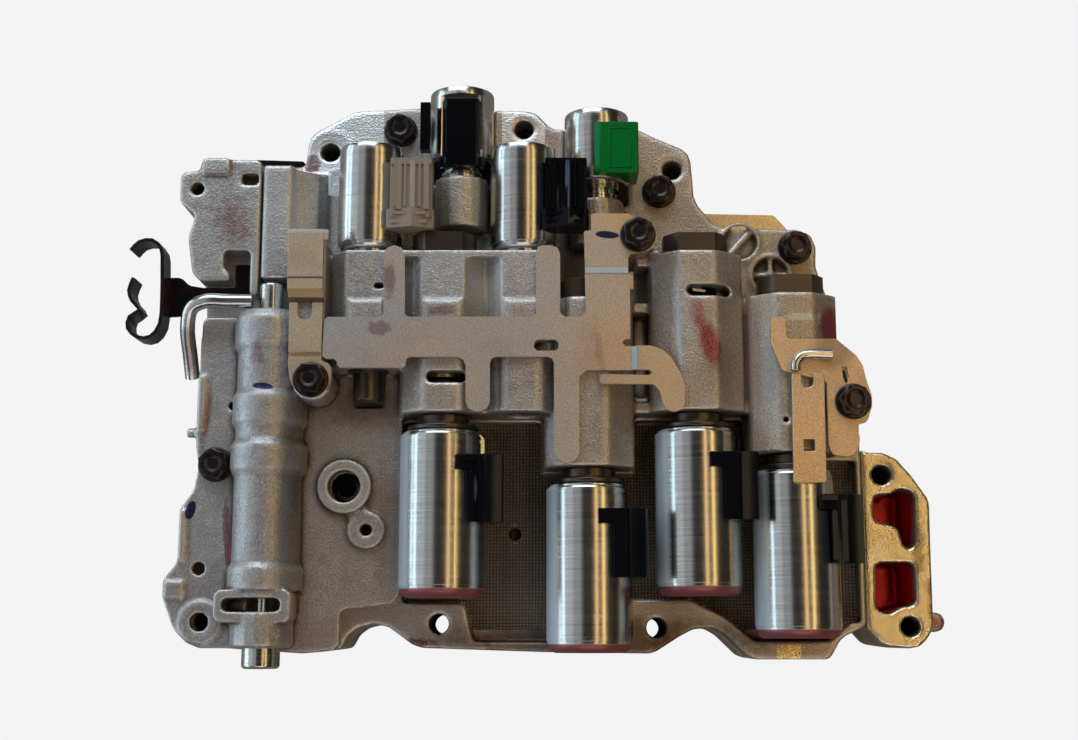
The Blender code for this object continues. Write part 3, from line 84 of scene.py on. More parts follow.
def added(tree, kind, wires=(), **settings):
    """A new shader node with its own settings; wires gives its inputs, by name or number, each with the
    socket that feeds it or with a plain value."""
    node = tree.nodes.new("ShaderNode" + kind)
    for name, value in settings.items():
        setattr(node, name, value)
    for label, value in dict(wires).items():
        if isinstance(value, bpy.types.NodeSocket):
            tree.links.new(value, node.inputs[label])
        else:
            node.inputs[label].default_value = value
    return node


def spread(tree, value, low, high, least=0.0, most=1.0, **settings):
    """A value carried from low..high onto least..most, and held there beyond both ends."""
    return added(tree, "MapRange", {"Value": value, "From Min": low, "From Max": high, "To Min": least,
                                    "To Max": most}, **settings).outputs["Result"]


def worked(tree, operation, *values, clamp=False):
    """The result of one sum on up to three values."""
    return added(tree, "Math", enumerate(values), operation=operation, use_clamp=clamp).outputs[0]


world = bpy.data.worlds.new("bench_room")
bpy.context.scene.world = world
world.use_nodes = True
room = world.node_tree.nodes["Background"]
room.inputs["Color"].default_value = (1.0, 0.98, 0.96, 1.0)
# The room lights the castings evenly but shows dark in the bright cans
room_path = added(world.node_tree, "LightPath")
room_level = spread(world.node_tree, room_path.outputs["Is Glossy Ray"], 0.0, 1.0, 0.045, 0.016)
world.node_tree.links.new(room_level, room.inputs["Strength"])

# The bench is painted grey for the light that it throws back, and glows near white for the camera
reach, depth = 3.0, -0.0003
floor_mesh = bpy.data.meshes.new("bench_top")
floor_mesh.from_pydata([(-reach, -reach, depth), (reach, -reach, depth), (reach, reach, depth),
                        (-reach, reach, depth)], [], [(0, 1, 2, 3)])
floor = bpy.data.objects.new("bench_top", floor_mesh)
bpy.context.scene.collection.objects.link(floor)
bench_paint = bpy.data.materials.new("bench_paint")
bench_paint.use_nodes = True
bench_tree = bench_paint.node_tree
paint = bench_tree.nodes["Principled BSDF"]
paint.inputs["Base Color"].default_value = (0.30, 0.28, 0.27, 1.0)
paint.inputs["Roughness"].default_value = 0.9
glow = added(bench_tree, "Emission", {"Color": (0.925, 0.925, 0.925, 1.0)})
seen = worked(bench_tree, "MULTIPLY", added(bench_tree, "LightPath").outputs["Is Camera Ray"], 0.97)
shown = added(bench_tree, "MixShader", {0: seen, 1: paint.outputs[0], 2: glow.outputs[0]})
bench_tree.links.new(shown.outputs[0], bench_tree.nodes["Material Output"].inputs["Surface"])
floor_mesh.materials.append(bench_paint)


# Die castings: rear body, middle body, front body and the small cover at the upper left.
# They are pressure die-cast aluminium with a grainy skin, warmer towards the right in painted warm light from the
# strips. Their flange and ear pads are machined, and they are bolted together over the separator sheets.
def finish(name, colour, roughness, metallic):
    """A Principled material with its base values, its node tree and its shader."""
    made = bpy.data.materials.new(name)
    made.use_nodes = True
    shader = made.node_tree.nodes["Principled BSDF"]
    shader.inputs["Base Color"].default_value = (*colour, 1.0)
    shader.inputs["Roughness"].default_value = roughness
    shader.inputs["Metallic"].default_value = metallic
    return made, made.node_tree, shader


def new_group(name, inputs, outputs):
    """An empty shader node group with named (name, type, default) inputs and (name, type) outputs, and
    its input node's sockets and its output node."""
    group = bpy.data.node_groups.new(name, "ShaderNodeTree")
    for label, kind, value in inputs:
        socket = group.interface.new_socket(label, in_out="INPUT", socket_type="NodeSocket" + kind)
        socket.default_value = value
    for label, kind in outputs:
        group.interface.new_socket(label, in_out="OUTPUT", socket_type="NodeSocket" + kind)
    return group, group.nodes.new("NodeGroupInput").outputs, group.nodes.new("NodeGroupOutput").inputs


def place_of(tree):
    """The Object coordinates of a material or a group."""
    return added(tree, "TexCoord").outputs["Object"]


def noise(tree, place, scale, detail):
    """Noise between zero and one."""
    return added(tree, "TexNoise", {"Vector": place, "Scale": scale, "Detail": detail}).outputs["Fac"]


def blended(tree, factor, before, after, blend="MIX"):
    """Two colours mixed, or multiplied, by a factor."""
    return added(tree, "Mix", {"Factor": factor, 6: before, 7: after}, data_type="RGBA",
                 blend_type=blend).outputs[2]


def bumped(tree, shader, height, distance):
    """Feeds a height to the shader's normal, on top of a bump that is there already."""
    normal = shader.inputs["Normal"]
    wires = {"Normal": normal.links[0].from_socket} if normal.is_linked else {}
    bump = added(tree, "Bump", {"Height": height, "Distance": distance, **wires})
    tree.links.new(bump.outputs["Normal"], normal)


def cast_grain_group():
    """Sandy skin: a fine noise and a coarse one make the height, a slow one drifts between two colours."""
    group, inside, outside = new_group(
        "cast_grain",
        [("Cool", "Color", (0.3, 0.3, 0.3, 1)), ("Warm", "Color", (0.3, 0.25, 0.2, 1)),
         ("Film", "Color", (0.30, 0.12, 0.13, 1)), ("Grain", "Float", 1500.0)],
        [("Color", "Color"), ("Roughness", "Float"), ("Height", "Float")])
    place = place_of(group)
    fine = noise(group, place, inside["Grain"], 3.0)
    coarse = noise(group, place, 260.0, 4.0)
    slow = noise(group, place, 22.0, 3.0)
    # The warm tone grows from left to right across the unit as painted warm light from the right, broken up by
    # the slow noise
    across = spread(group, added(group, "SeparateXYZ", {0: place}).outputs["X"], -0.10, 0.11)
    drift = worked(group, "MULTIPLY_ADD", slow, 1.5, -0.75)
    warmth = worked(group, "ADD", across, drift, clamp=True)
    tone = blended(group, warmth, inside["Cool"], inside["Warm"])
    speck = spread(group, fine, 0.35, 0.68, 0.72, 1.2)
    shade = blended(group, 1.0, tone, speck, "MULTIPLY")
    # Thin red film of old fluid, in broad clouds
    film = spread(group, noise(group, place, 38.0, 5.0), 0.52, 0.74, 0.0, 0.34)
    group.links.new(blended(group, film, shade, inside["Film"]), outside["Color"])
    group.links.new(spread(group, coarse, 0.3, 0.7, 0.52, 0.34), outside["Roughness"])
    group.links.new(worked(group, "MULTIPLY_ADD", coarse, 0.8, fine), outside["Height"])
    return group


def hollows_group():
    """Grime and painted shade in the hollows, bare metal and a painted highlight on the edges, from the two
    curvature attributes of the skin.
    """
    group, inside, outside = new_group(
        "hollows", [("Color", "Color", (0.5, 0.5, 0.5, 1)), ("Roughness", "Float", 0.4),
                    ("Grime_And_Shade", "Color", (0.07, 0.045, 0.03, 1)), ("Bare_And_Highlight", "Color", (0.8, 0.78, 0.75, 1))],
        [("Color", "Color"), ("Roughness", "Float")])
    tone, gloss = inside["Color"], inside["Roughness"]
    # Hollows take grime and painted shade; edges take bare metal and a painted highlight
    for label, paint, most, smooth in (("hollow", "Grime_And_Shade", 0.95, 0.6), ("edge", "Bare_And_Highlight", 0.5, 0.27)):
        read = added(group, "Attribute", attribute_name=label)
        much = worked(group, "MULTIPLY", read.outputs["Fac"], most)
        tone = blended(group, much, tone, inside[paint])
        gloss = added(group, "Mix", {"Factor": much, 2: gloss, 3: smooth}).outputs[0]
    group.links.new(tone, outside["Color"])
    group.links.new(gloss, outside["Roughness"])
    return group


def patch_group():
    """A stain or a dab of ink: one inside an ellipsoid about Centre with half sizes Size, its rim pushed
    in and out by a noise and softened over Edge, zero outside; a second noise thins it by Thin."""
    group, inside, outside = new_group(
        "patch", [("Centre", "Vector", (0, 0, 0)), ("Size", "Vector", (0.01, 0.01, 0.01)),
                  ("Turn", "Vector", (0, 0, 0)), ("Ragged", "Float", 0.5), ("Edge", "Float", 0.2),
                  ("Thin", "Float", 0.5)], [("Mask", "Float")])
    place = place_of(group)
    # A texture mapping moves the centre to zero, turns the long axis onto X and divides by the half sizes
    local = added(group, "Mapping", vector_type="TEXTURE")
    for label, feed in (("Vector", place), ("Location", inside["Centre"]), ("Rotation", inside["Turn"]),
                        ("Scale", inside["Size"])):
        group.links.new(feed, local.inputs[label])
    away = added(group, "VectorMath", {0: local.outputs["Vector"]}, operation="LENGTH").outputs["Value"]
    rim = worked(group, "SUBTRACT", noise(group, place, 420.0, 4.0), 0.5)
    cloud = worked(group, "SUBTRACT", noise(group, place, 900.0, 4.0), 0.5)
    pushed = worked(group, "MULTIPLY_ADD", rim, inside["Ragged"], away)
    start = worked(group, "SUBTRACT", 1.0, inside["Edge"])
    fall = spread(group, pushed, start, 1.0, 1.0, 0.0, interpolation_type="SMOOTHSTEP")
    thin = worked(group, "MULTIPLY_ADD", cloud, inside["Thin"], 1.0)
    group.links.new(worked(group, "MULTIPLY", fall, thin, clamp=True), outside["Mask"])
    return group


def inside_box_group():
    """One inside the box between Low and High, falling to zero over Soft outside it."""
    group, inside, outside = new_group(
        "inside_box", [("Low", "Vector", (0, 0, 0)), ("High", "Vector", (0, 0, 0)), ("Soft", "Float", 0.0002)],
        [("Mask", "Float")])
    place = place_of(group)
    above = added(group, "VectorMath", {0: place, 1: inside["Low"]}, operation="SUBTRACT").outputs[0]
    below = added(group, "VectorMath", {0: inside["High"], 1: place}, operation="SUBTRACT").outputs[0]
    least = added(group, "VectorMath", {0: above, 1: below}, operation="MINIMUM").outputs[0]
    apart = added(group, "SeparateXYZ", {0: least}).outputs
    depth = worked(group, "MINIMUM", worked(group, "MINIMUM", apart["X"], apart["Y"]), apart["Z"])
    back = worked(group, "MULTIPLY", inside["Soft"], -1.0)
    group.links.new(spread(group, depth, back, 0.0), outside["Mask"])
    return group


cast_grain, hollows, patch, inside_box = cast_grain_group(), hollows_group(), patch_group(), inside_box_group()


def boxed(tree, low, high, soft=0.2):
    """The mask output of an inside_box group between two corners in millimetres."""
    low, high = [[value / 1000 for value in corner] for corner in (low, high)]
    return added(tree, "Group", {"Low": low, "High": high, "Soft": soft / 1000},
                 node_tree=inside_box).outputs["Mask"]


def mixed_in(tree, shader, mask, values):
    """Mixes new values into the named inputs of a shader where the mask is one."""
    for label, value in values.items():
        socket = shader.inputs[label]
        before = socket.links[0].from_socket if socket.is_linked else socket.default_value
        if socket.type == "RGBA":
            after = blended(tree, mask, before, (*value, 1.0))
        else:
            after = added(tree, "Mix", {"Factor": mask, 2: before, 3: value}, data_type="FLOAT").outputs[0]
        tree.links.new(after, socket)


def dabbed(tree, shader, dabs):
    """Lays dabs over a finish. Each is its colour, strength, gloss, centre, half sizes and turn about Z,
    in millimetres and degrees, then how ragged, soft and thin it is."""
    for paint, strength, smooth, centre, size, turn, ragged, edge, thin in dabs:
        mark = added(tree, "Group", {
            "Centre": [value / 1000 for value in centre], "Size": [value / 1000 for value in size],
            "Turn": (0.0, 0.0, np.radians(turn)), "Ragged": ragged, "Edge": edge, "Thin": thin},
            node_tree=patch)
        much = worked(tree, "MULTIPLY", mark.outputs["Mask"], strength)
        mixed_in(tree, shader, much, {"Base Color": paint, "Roughness": smooth})


def grained(tree, cool, warm, grain):
    """The cast_grain group in a material, with its own two tones and grain size."""
    return added(tree, "Group", {"Cool": (*cool, 1.0), "Warm": (*warm, 1.0), "Grain": grain},
                 node_tree=cast_grain).outputs


# Cast aluminium: the grain, then grime and painted shade in the hollows, and bare metal with a painted highlight
# on the edges
cast_cool, cast_warm = (0.46, 0.47, 0.49), (0.50, 0.42, 0.34)
cast_skin, cast_tree, cast_shader = finish("cast_skin", cast_cool, 0.42, 0.75)
grain = grained(cast_tree, cast_cool, cast_warm, 1500.0)
worn_and_shaded = added(cast_tree, "Group", {"Color": grain["Color"], "Roughness": grain["Roughness"]}, node_tree=hollows)
cast_tree.links.new(worn_and_shaded.outputs["Color"], cast_shader.inputs["Base Color"])
cast_tree.links.new(worn_and_shaded.outputs["Roughness"], cast_shader.inputs["Roughness"])
bumped(cast_tree, cast_shader, grain["Height"], 0.0002)

# Machined faces: the wet flange block at the right and a pad below it, both golden with a painted warm highlight,
# and the ear pads, the left one pale blue with a painted cool glare
for low, high, colour, gloss in (
        ((108.0, -96.0, 34.2), (134.0, -27.0, 35.0), (0.84, 0.75, 0.53), 0.15),
        ((79.3, -97.9, 33.6), (87.2, -92.9, 36.9), (0.90, 0.74, 0.42), 0.22),
        ((-83.0, 62.0, 35.6), (-55.0, 93.0, 36.4), (0.82, 0.90, 0.95), 0.32),
        ((-13.0, 80.0, 35.6), (2.0, 93.0, 36.4), (0.80, 0.80, 0.80), 0.36)):
    mixed_in(cast_tree, cast_shader, boxed(cast_tree, low, high), {
        "Base Color": colour, "Roughness": gloss, "Metallic": 0.9})
oil_red, ink_blue, pale_flank_highlight = (0.24, 0.02, 0.035), (0.012, 0.022, 0.09), (0.75, 0.74, 0.73)
port_red, boss_red, shade_black = (0.60, 0.04, 0.05), (0.30, 0.02, 0.065), (0.012, 0.010, 0.010)
dabbed(cast_tree, cast_shader, [
    # Fluid that stands in the two ports
    (port_red, 0.97, 0.12, (120.0, -51.0, 17), (13.0, 16.0, 16.8), 0, 0.1, 0.1, 0.3),
    (port_red, 0.97, 0.12, (120.0, -74.0, 17), (13.0, 14.0, 16.8), 0, 0.1, 0.1, 0.3),
    # Fluid that has run down the bosses, the wing and the rim
    (boss_red, 0.82, 0.16, (56.6, 4.5, 58), (4.4, 10.5, 14), 14, 0.35, 0.6, 0.35),
    (boss_red, 0.60, 0.16, (52.6, 14.0, 58), (3.4, 8.0, 14), 8, 0.4, 0.8, 0.4),
    (oil_red, 0.45, 0.18, (-48.5, 26.0, 58), (2.6, 9.0, 6), 8, 1.2, 0.5, 0.9),
    (oil_red, 0.42, 0.18, (-32.5, 16.0, 57), (7.5, 2.6, 8), 0, 0.8, 0.7, 0.8),
    (oil_red, 0.45, 0.14, (-112.5, -18.0, 42), (1.9, 15.0, 12), -6, 0.7, 0.7, 0.8),
    (oil_red, 0.55, 0.16, (-104.0, -58.0, 42), (1.6, 16.0, 10), 4, 1.0, 0.5, 0.9),
    (oil_red, 0.35, 0.2, (-98.5, -22.0, 42), (1.5, 6.0, 10), 0, 1.0, 0.5, 0.9),
    ((0.28, 0.02, 0.06), 0.85, 0.14, (97.2, 11.0, 53), (5.2, 8.5, 15), 0, 0.3, 0.4, 0.3),
    (oil_red, 0.45, 0.18, (-17.0, -93.0, 30), (2.2, 5.0, 12), 10, 1.0, 0.4, 0.7),
    (oil_red, 0.75, 0.12, (-42.0, -93.5, 28), (13.0, 3.5, 14), 0, 0.8, 0.4, 0.8),
    (oil_red, 0.75, 0.12, (46.0, -92.5, 28), (14.0, 4.5, 14), 0, 0.8, 0.4, 0.8),
    (oil_red, 0.60, 0.14, (-80.0, 73.0, 36), (3.5, 5.0, 10), 0, 0.9, 0.4, 0.8),
    # A painted highlight on the left flank of the third boss
    (pale_flank_highlight, 0.40, 0.5, (46.6, 2.0, 56), (1.1, 9.0, 8), 4, 1.2, 0.6, 1.0),
    # Two dabs of ink
    (ink_blue, 0.97, 0.3, (-91.0, -9.2, 54), (3.9, 1.3, 9), -6, 0.2, 0.15, 0.1),
    (ink_blue, 0.97, 0.3, (-116.5, -48.8, 42), (1.7, 3.4, 9), -14, 0.2, 0.15, 0.1),
    # Brown film on the panel and behind the plugs; the first dab is also painted shadow below the plate
    ((0.10, 0.07, 0.045), 0.62, 0.45, (-62.0, -14.0, 42), (30.0, 11.0, 3), 0, 0.5, 0.9, 0.3),
    ((0.17, 0.13, 0.09), 0.34, 0.45, (-58.0, -52.0, 42), (24.0, 42.0, 3), 0, 0.5, 0.9, 0.3),
    ((0.16, 0.11, 0.07), 0.52, 0.45, (66.0, 30.0, 38), (60.0, 40.0, 3), 0, 0.5, 0.9, 0.3),
    # Thin red film on the tube, the cover, the wing and the ears, and in the ear holes
    (oil_red, 0.45, 0.16, (-93.5, 2.0, 56), (3.4, 5.5, 6), 0, 0.8, 0.6, 0.6),
    (oil_red, 0.40, 0.18, (-77.0, 68.0, 46), (3.4, 4.0, 12), 0, 0.8, 0.6, 0.6),
    (oil_red, 0.45, 0.18, (-105.0, 50.0, 45), (9.0, 15.0, 3), 20, 1.2, 0.9, 1.0),
    (oil_red, 0.50, 0.18, (-101.0, -29.0, 43), (3.2, 3.0, 4), 0, 0.8, 0.6, 0.6),
    (oil_red, 0.85, 0.16, (38.3, -87.0, 22), (5.4, 5.4, 14), 0, 0.2, 0.3, 0.2),
    (oil_red, 0.60, 0.16, (-33.8, -86.3, 22), (5.4, 5.4, 14), 0, 0.2, 0.3, 0.2),
    (oil_red, 0.60, 0.20, (137.0, -87.0, 22), (4.5, 5.0, 9), 0, 0.4, 0.5, 0.4),
    (oil_red, 0.65, 0.15, (132.0, -78.0, 32), (2.8, 13.0, 5), 0, 0.9, 0.5, 0.7),
    # Smears on the flange face
    ((0.30, 0.18, 0.07), 0.62, 0.24, (128.0, -60.0, 35), (3.6, 15.0, 1.5), 0, 1.2, 0.7, 0.8),
    ((0.38, 0.26, 0.13), 0.60, 0.30, (117.0, -35.0, 35), (8.0, 5.0, 1.5), 24, 1.2, 0.7, 0.8),
    # A painted highlight on the flange face
    ((0.97, 0.93, 0.82), 0.75, 0.10, (114.5, -63.0, 35), (7.0, 4.5, 1.5), 20, 1.2, 0.7, 0.6),
    # Darker along the lower rim, and painted shade on the right side of the tube
    ((0.10, 0.060, 0.035), 0.78, 0.4, (22.0, -91.0, 34), (78.0, 9.5, 14), 0, 0.4, 0.6, 0.3),
    ((0.09, 0.08, 0.07), 0.66, 0.4, (-82.6, -44.0, 47), (5.6, 56.0, 13), 0, 0.2, 0.8, 0.2),
    # Paler at the foot of the sump walls, then a painted cool sheen on the bosses, the cover and the panel
    ((0.80, 0.68, 0.60), 0.75, 0.4, (-20.0, -75.0, 29), (14.0, 18.0, 3), 0, 0.5, 0.8, 0.3),
    ((0.70, 0.62, 0.56), 0.45, 0.4, (36.0, -70.0, 29), (52.0, 24.0, 3), 0, 0.5, 0.8, 0.3),
    ((0.66, 0.71, 0.78), 0.42, 0.36, (-22.0, 30.0, 52), (44.0, 20.0, 14), 0, 0.3, 0.7, 0.3),
    ((0.68, 0.71, 0.76), 0.45, 0.36, (-86.0, 52.0, 52), (12.0, 20.0, 16), 0, 0.3, 0.7, 0.3),
    ((0.60, 0.66, 0.76), 0.40, 0.36, (49.0, 12.0, 52), (6.0, 34.0, 14), 0, 0.3, 0.7, 0.3),
    ((0.50, 0.62, 0.70), 0.30, 0.3, (-45.8, -62.0, 42), (2.6, 19.0, 3), 0, 0.4, 0.8, 0.2),
    # Shaded sides of the right bosses and of the panel, the sheen of the fourth boss, the red gap before it
    ((0.20, 0.21, 0.24), 0.50, 0.36, (78.0, -3.0, 52), (5.5, 17.0, 12), 0, 0.3, 0.7, 0.3),
    ((0.20, 0.17, 0.145), 0.42, 0.36, (59.0, -4.0, 52), (10.0, 14.0, 13), 0, 0.4, 0.8, 0.3),
    ((0.16, 0.13, 0.11), 0.40, 0.4, (-50.0, -58.0, 42), (8.0, 30.0, 3), 0, 0.4, 0.8, 0.3),
    ((0.72, 0.82, 0.90), 0.60, 0.22, (86.7, 13.8, 58.5), (8.0, 1.8, 3), 0, 0.4, 0.6, 0.3),
    ((0.38, 0.09, 0.06), 0.80, 0.2, (69.2, 0.5, 42), (3.0, 11.0, 9), 0, 0.6, 0.6, 0.4),
    # The two ports of the panel lie in shade
    (shade_black, 0.96, 0.6, (-66.4, -40.0, 32), (4.6, 4.6, 9.4), 0, 0.0, 0.1, 0.0),
    (shade_black, 0.96, 0.6, (-58.6, -54.2, 32), (2.2, 2.2, 9.4), 0, 0.0, 0.1, 0.0),
])


# Corners of a solid that lie nearer than this are one
weld = 0.000005


def softened(node, radius, material, body="body", forms=(), sharp=32.0):
    """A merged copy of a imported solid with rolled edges, and added closed forms, which stands for it."""
    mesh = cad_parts[node].data.copy()
    work = bmesh.new()
    work.from_mesh(mesh)
    for form in forms:
        work.from_mesh(form)
    bmesh.ops.remove_doubles(work, verts=work.verts, dist=weld)
    bmesh.ops.dissolve_limit(work, angle_limit=np.radians(0.5), verts=work.verts, edges=work.edges)
    work.to_mesh(mesh)
    work.free()
    piece = bpy.data.objects.new(node + "_dressed", mesh)
    bpy.context.scene.collection.objects.link(piece)
    mesh.materials.clear()
    mesh.materials.append(material)
    mesh.shade_smooth()
    mesh.set_sharp_from_angle(angle=np.radians(sharp))
    edges = piece.modifiers.new("rolled_edges", "BEVEL")
    edges.width = radius
    edges.segments = 2
    edges.limit_method = "ANGLE"
    edges.angle_limit = np.radians(32.0)
    edges.harden_normals = False
    edges.use_clamp_overlap = True
    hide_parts(node)
    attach(piece, body)


# The sump floor behind the cans is cast with a field of small pyramids, dulled by burnt fluid
pyramid_half, pyramid_relief = 0.00056, 1.6
sump_skin = cast_skin.copy()
sump_skin.name = "sump_skin"
sump_tree = sump_skin.node_tree
sump_shader = sump_tree.nodes["Principled BSDF"]
sump = boxed(sump_tree, (-46, -88, 28.6), (109, -16, 30.2))
apart = added(sump_tree, "SeparateXYZ", {0: place_of(sump_tree)}).outputs
slopes = [worked(sump_tree, "PINGPONG", apart[axis], pyramid_half) for axis in "XY"]
pyramid = worked(sump_tree, "MINIMUM", *slopes)
bumped(sump_tree, sump_shader, worked(sump_tree, "MULTIPLY", pyramid, sump), pyramid_relief)
# The valleys between the pyramids hold dirt and painted shade, and their tips carry painted glints
valley = worked(sump_tree, "MULTIPLY", sump, spread(sump_tree, pyramid, 0.0, 0.75 * pyramid_half, 1.0, 0.1))
mixed_in(sump_tree, sump_shader, sump, {"Base Color": (0.90, 0.78, 0.68), "Roughness": 0.28})
mixed_in(sump_tree, sump_shader, valley, {"Base Color": (0.26, 0.205, 0.17), "Roughness": 0.4})


def hollow_and_edge_marks(mesh, rounds, reach):
    """Two attributes from how far the skin moves when each corner is averaged with its neighbours a
    number of times: outwards along its normal means a hollow, inwards an edge; reach is a full one."""
    count = len(mesh.vertices)
    place, normal = np.empty(count * 3), np.empty(count * 3)
    mesh.vertices.foreach_get("co", place)
    mesh.vertex_normals.foreach_get("vector", normal)
    place, normal = place.reshape(-1, 3), normal.reshape(-1, 3)
    pairs = np.empty(len(mesh.edges) * 2, np.int32)
    mesh.edges.foreach_get("vertices", pairs)
    one, other = pairs[0::2], pairs[1::2]
    degree = np.maximum(np.bincount(pairs, minlength=count), 1)[:, None]
    flat = place.copy()
    for step in range(rounds):
        mean = np.stack([np.bincount(one, flat[other, axis], count) + np.bincount(other, flat[one, axis], count)
                         for axis in range(3)], axis=1) / degree
        flat += 0.6 * (mean - flat)
    moved = np.einsum("ij,ij->i", flat - place, normal) / reach
    for label, sign in (("hollow", 1), ("edge", -1)):
        values = np.clip(sign * moved - 0.12, 0.0, 1.0).astype(np.float32)
        mesh.attributes.new(label, "FLOAT", "POINT").data.foreach_set("value", values)


def cast_form(node, grid, faces, material, forms=(), rounds=5):
    """A packed casting as the mould leaves it: its solid and the added closed forms are melted into one
    skin on a grid of that cell, and the skin is averaged with its neighbours a few rounds, which rolls
    every outer edge and fills every inner corner. At the end only a share of its faces is kept."""
    work = bmesh.new()
    work.from_mesh(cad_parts[node].data)
    bmesh.ops.remove_doubles(work, verts=work.verts, dist=weld)
    for form in forms:
        work.from_mesh(form)
    mesh = bpy.data.meshes.new(node + "_mould")
    work.to_mesh(mesh)
    work.free()
    raw = bpy.data.objects.new(node + "_mould", mesh)
    bpy.context.scene.collection.objects.link(raw)
    melt = raw.modifiers.new("one_skin", "REMESH")
    melt.mode = "VOXEL"
    melt.voxel_size = grid
    melt.use_smooth_shade = True
    rolled = raw.modifiers.new("rolled_corners", "SMOOTH")
    rolled.factor = 0.5
    rolled.iterations = rounds
    fewer = raw.modifiers.new("fewer_faces", "DECIMATE")
    fewer.ratio = faces
    cast = bpy.data.meshes.new_from_object(raw.evaluated_get(bpy.context.evaluated_depsgraph_get()))
    bpy.data.objects.remove(raw)
    cast.name = node + "_cast"
    cast.materials.clear()
    cast.materials.append(material)
    hollow_and_edge_marks(cast, rounds=14, reach=0.00035)
    piece = bpy.data.objects.new(node + "_cast", cast)
    bpy.context.scene.collection.objects.link(piece)
    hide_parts(node)
    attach(piece, "body")


def cast_ring(x, y, z, reach, tube):
    """A torus about Z in millimetres: a circle of radius tube carried round one of radius reach."""
    across, around = np.arange(10) * np.pi / 5, np.arange(40)[:, None] * np.pi / 20
    out = reach + tube * np.cos(across)
    points = np.stack((x + out * np.cos(around), y + out * np.sin(around),
                       np.broadcast_to(z + tube * np.sin(across), (40, 10))), axis=-1) / 1000
    index = np.arange(400).reshape(40, 10)
    right, down = np.roll(index, -1, axis=1), np.roll(index, -1, axis=0)
    quads = np.stack((index, down, np.roll(right, -1, axis=0), right), axis=-1).reshape(-1, 4)
    mesh = bpy.data.meshes.new("cast_ring")
    mesh.from_pydata(points.reshape(-1, 3).tolist(), [], quads.tolist())
    return mesh


def tube_skin():
    """The smooth outside of the manual valve's tube, as a thick-walled sleeve with an open bore: its reach
    is a base radius, plus a raised band for each cast ring that rises and falls as a smooth step, plus a
    bell-shaped fillet about the height where it meets the panel."""
    axis_x, axis_z, plain_reach, bore_reach, panel_z = -90.8, 46.1, 10.5, 8.4, 42.6
    upper_slope, lower_slope, fillet_height, fillet_width = 2.6, 3.2, 1.5, 1.9
    along = np.arange(17.2, -76.1, -0.8)
    turn = np.linspace(0, 2 * np.pi, 72, endpoint=False)
    reach = np.full(along.shape, plain_reach)
    for high, low, swell in ((16.9, 3.6, 1.3), (-9.4, -22.6, 1.25), (-25.8, -38.6, 1.5), (-66.4, -78.0, 1.2)):
        rise = np.clip((high - along) / upper_slope, 0, 1)
        fall = np.clip((along - low) / lower_slope, 0, 1)
        reach += swell * rise * rise * (3 - 2 * rise) * fall * fall * (3 - 2 * fall)
    base = axis_z + reach[:, None] * np.cos(turn)
    fillet = fillet_height * np.exp(-((base - panel_z) / fillet_width) ** 2)
    outer = np.stack((axis_x + (reach[:, None] + fillet) * np.sin(turn),
                      np.broadcast_to(along[:, None], base.shape), base), axis=-1)
    inner = outer[::-1].copy()
    inner[..., 0] = axis_x + bore_reach * np.sin(turn)
    inner[..., 2] = axis_z + bore_reach * np.cos(turn)
    points = np.concatenate((outer, inner)) / 1000
    rows, columns = points.shape[:2]
    index = np.arange(rows * columns).reshape(rows, columns)
    right = np.roll(index, -1, axis=1)
    quads = np.stack((index, right, np.roll(right, -1, axis=0), np.roll(index, -1, axis=0)), axis=-1)
    mesh = bpy.data.meshes.new("tube_skin")
    mesh.from_pydata(points.reshape(-1, 3).tolist(), [], quads.reshape(-1, 4).tolist())
    return mesh


def block(low, high, lean=None, turn=0.0):
    """A closed box between two corners in millimetres, as all eight sums of the low and the high values,
    turned about its middle by turn degrees in plan, or by lean = (angle, x, z) about an axis along Y."""
    corners = np.stack(np.meshgrid(*zip(low, high), indexing="ij"), axis=-1).reshape(8, 3).astype(float)
    middle = corners.mean(axis=0)
    swing = np.radians(turn)
    apart = corners[:, :2] - middle[:2]
    corners[:, 0] = middle[0] + apart[:, 0] * np.cos(swing) - apart[:, 1] * np.sin(swing)
    corners[:, 1] = middle[1] + apart[:, 0] * np.sin(swing) + apart[:, 1] * np.cos(swing)
    if lean:
        angle, x, z = lean
        apart = corners[:, [0, 2]] - (x, z)
        corners[:, 0] = x + apart[:, 0] * np.cos(angle) + apart[:, 1] * np.sin(angle)
        corners[:, 2] = z - apart[:, 0] * np.sin(angle) + apart[:, 1] * np.cos(angle)
    mesh = bpy.data.meshes.new("block")
    mesh.from_pydata((corners / 1000).tolist(), [], [(0, 1, 3, 2), (4, 6, 7, 5), (0, 4, 5, 1), (2, 3, 7, 6),
                                                     (0, 2, 6, 4), (1, 5, 7, 3)])
    return mesh


# Raised rims and ribs of the two round recesses at the upper right, and the rims of the port and ear pads
recess_forms = [cast_ring(70.1, 45.0, 35.9, 6.6, 0.8), cast_ring(80.6, 33.4, 35.9, 6.9, 0.8),
                block((69.2, 39.6, 33.5), (71.0, 50.4, 35.6), turn=-42),
                block((79.8, 27.6, 33.5), (81.4, 39.2, 36.0)), block((75.2, 32.9, 33.5), (86.0, 34.3, 35.4)),
                cast_ring(-73.6, 77.9, 35.7, 7.4, 0.6), cast_ring(46.8, 71.3, 35.7, 5.2, 0.6),
                cast_ring(-5.3, 86.3, 35.7, 5.4, 0.6)]
cast_form("rear_casting", grid=0.0008, faces=0.3, material=cast_skin)
cast_form("middle_casting", grid=0.0007, faces=0.3, material=sump_skin, forms=recess_forms)
# Low webs tie the third boss to its neighbours above and below the plate's arm
webs = [block((28.8, 17.3, 41.0), (40.5, 20.1, 49.5)), block((65.5, 17.3, 41.0), (73.0, 20.1, 49.5)),
        block((28.8, -14.4, 38.5), (40.5, -11.4, 45.5)), block((65.5, -17.1, 38.5), (73.0, -14.1, 45.5))]
cast_form("front_casting", grid=0.0006, faces=0.4, material=cast_skin, forms=[tube_skin()] + webs)
cast_form("upper_left_casting", grid=0.0006, faces=0.3, material=cast_skin)
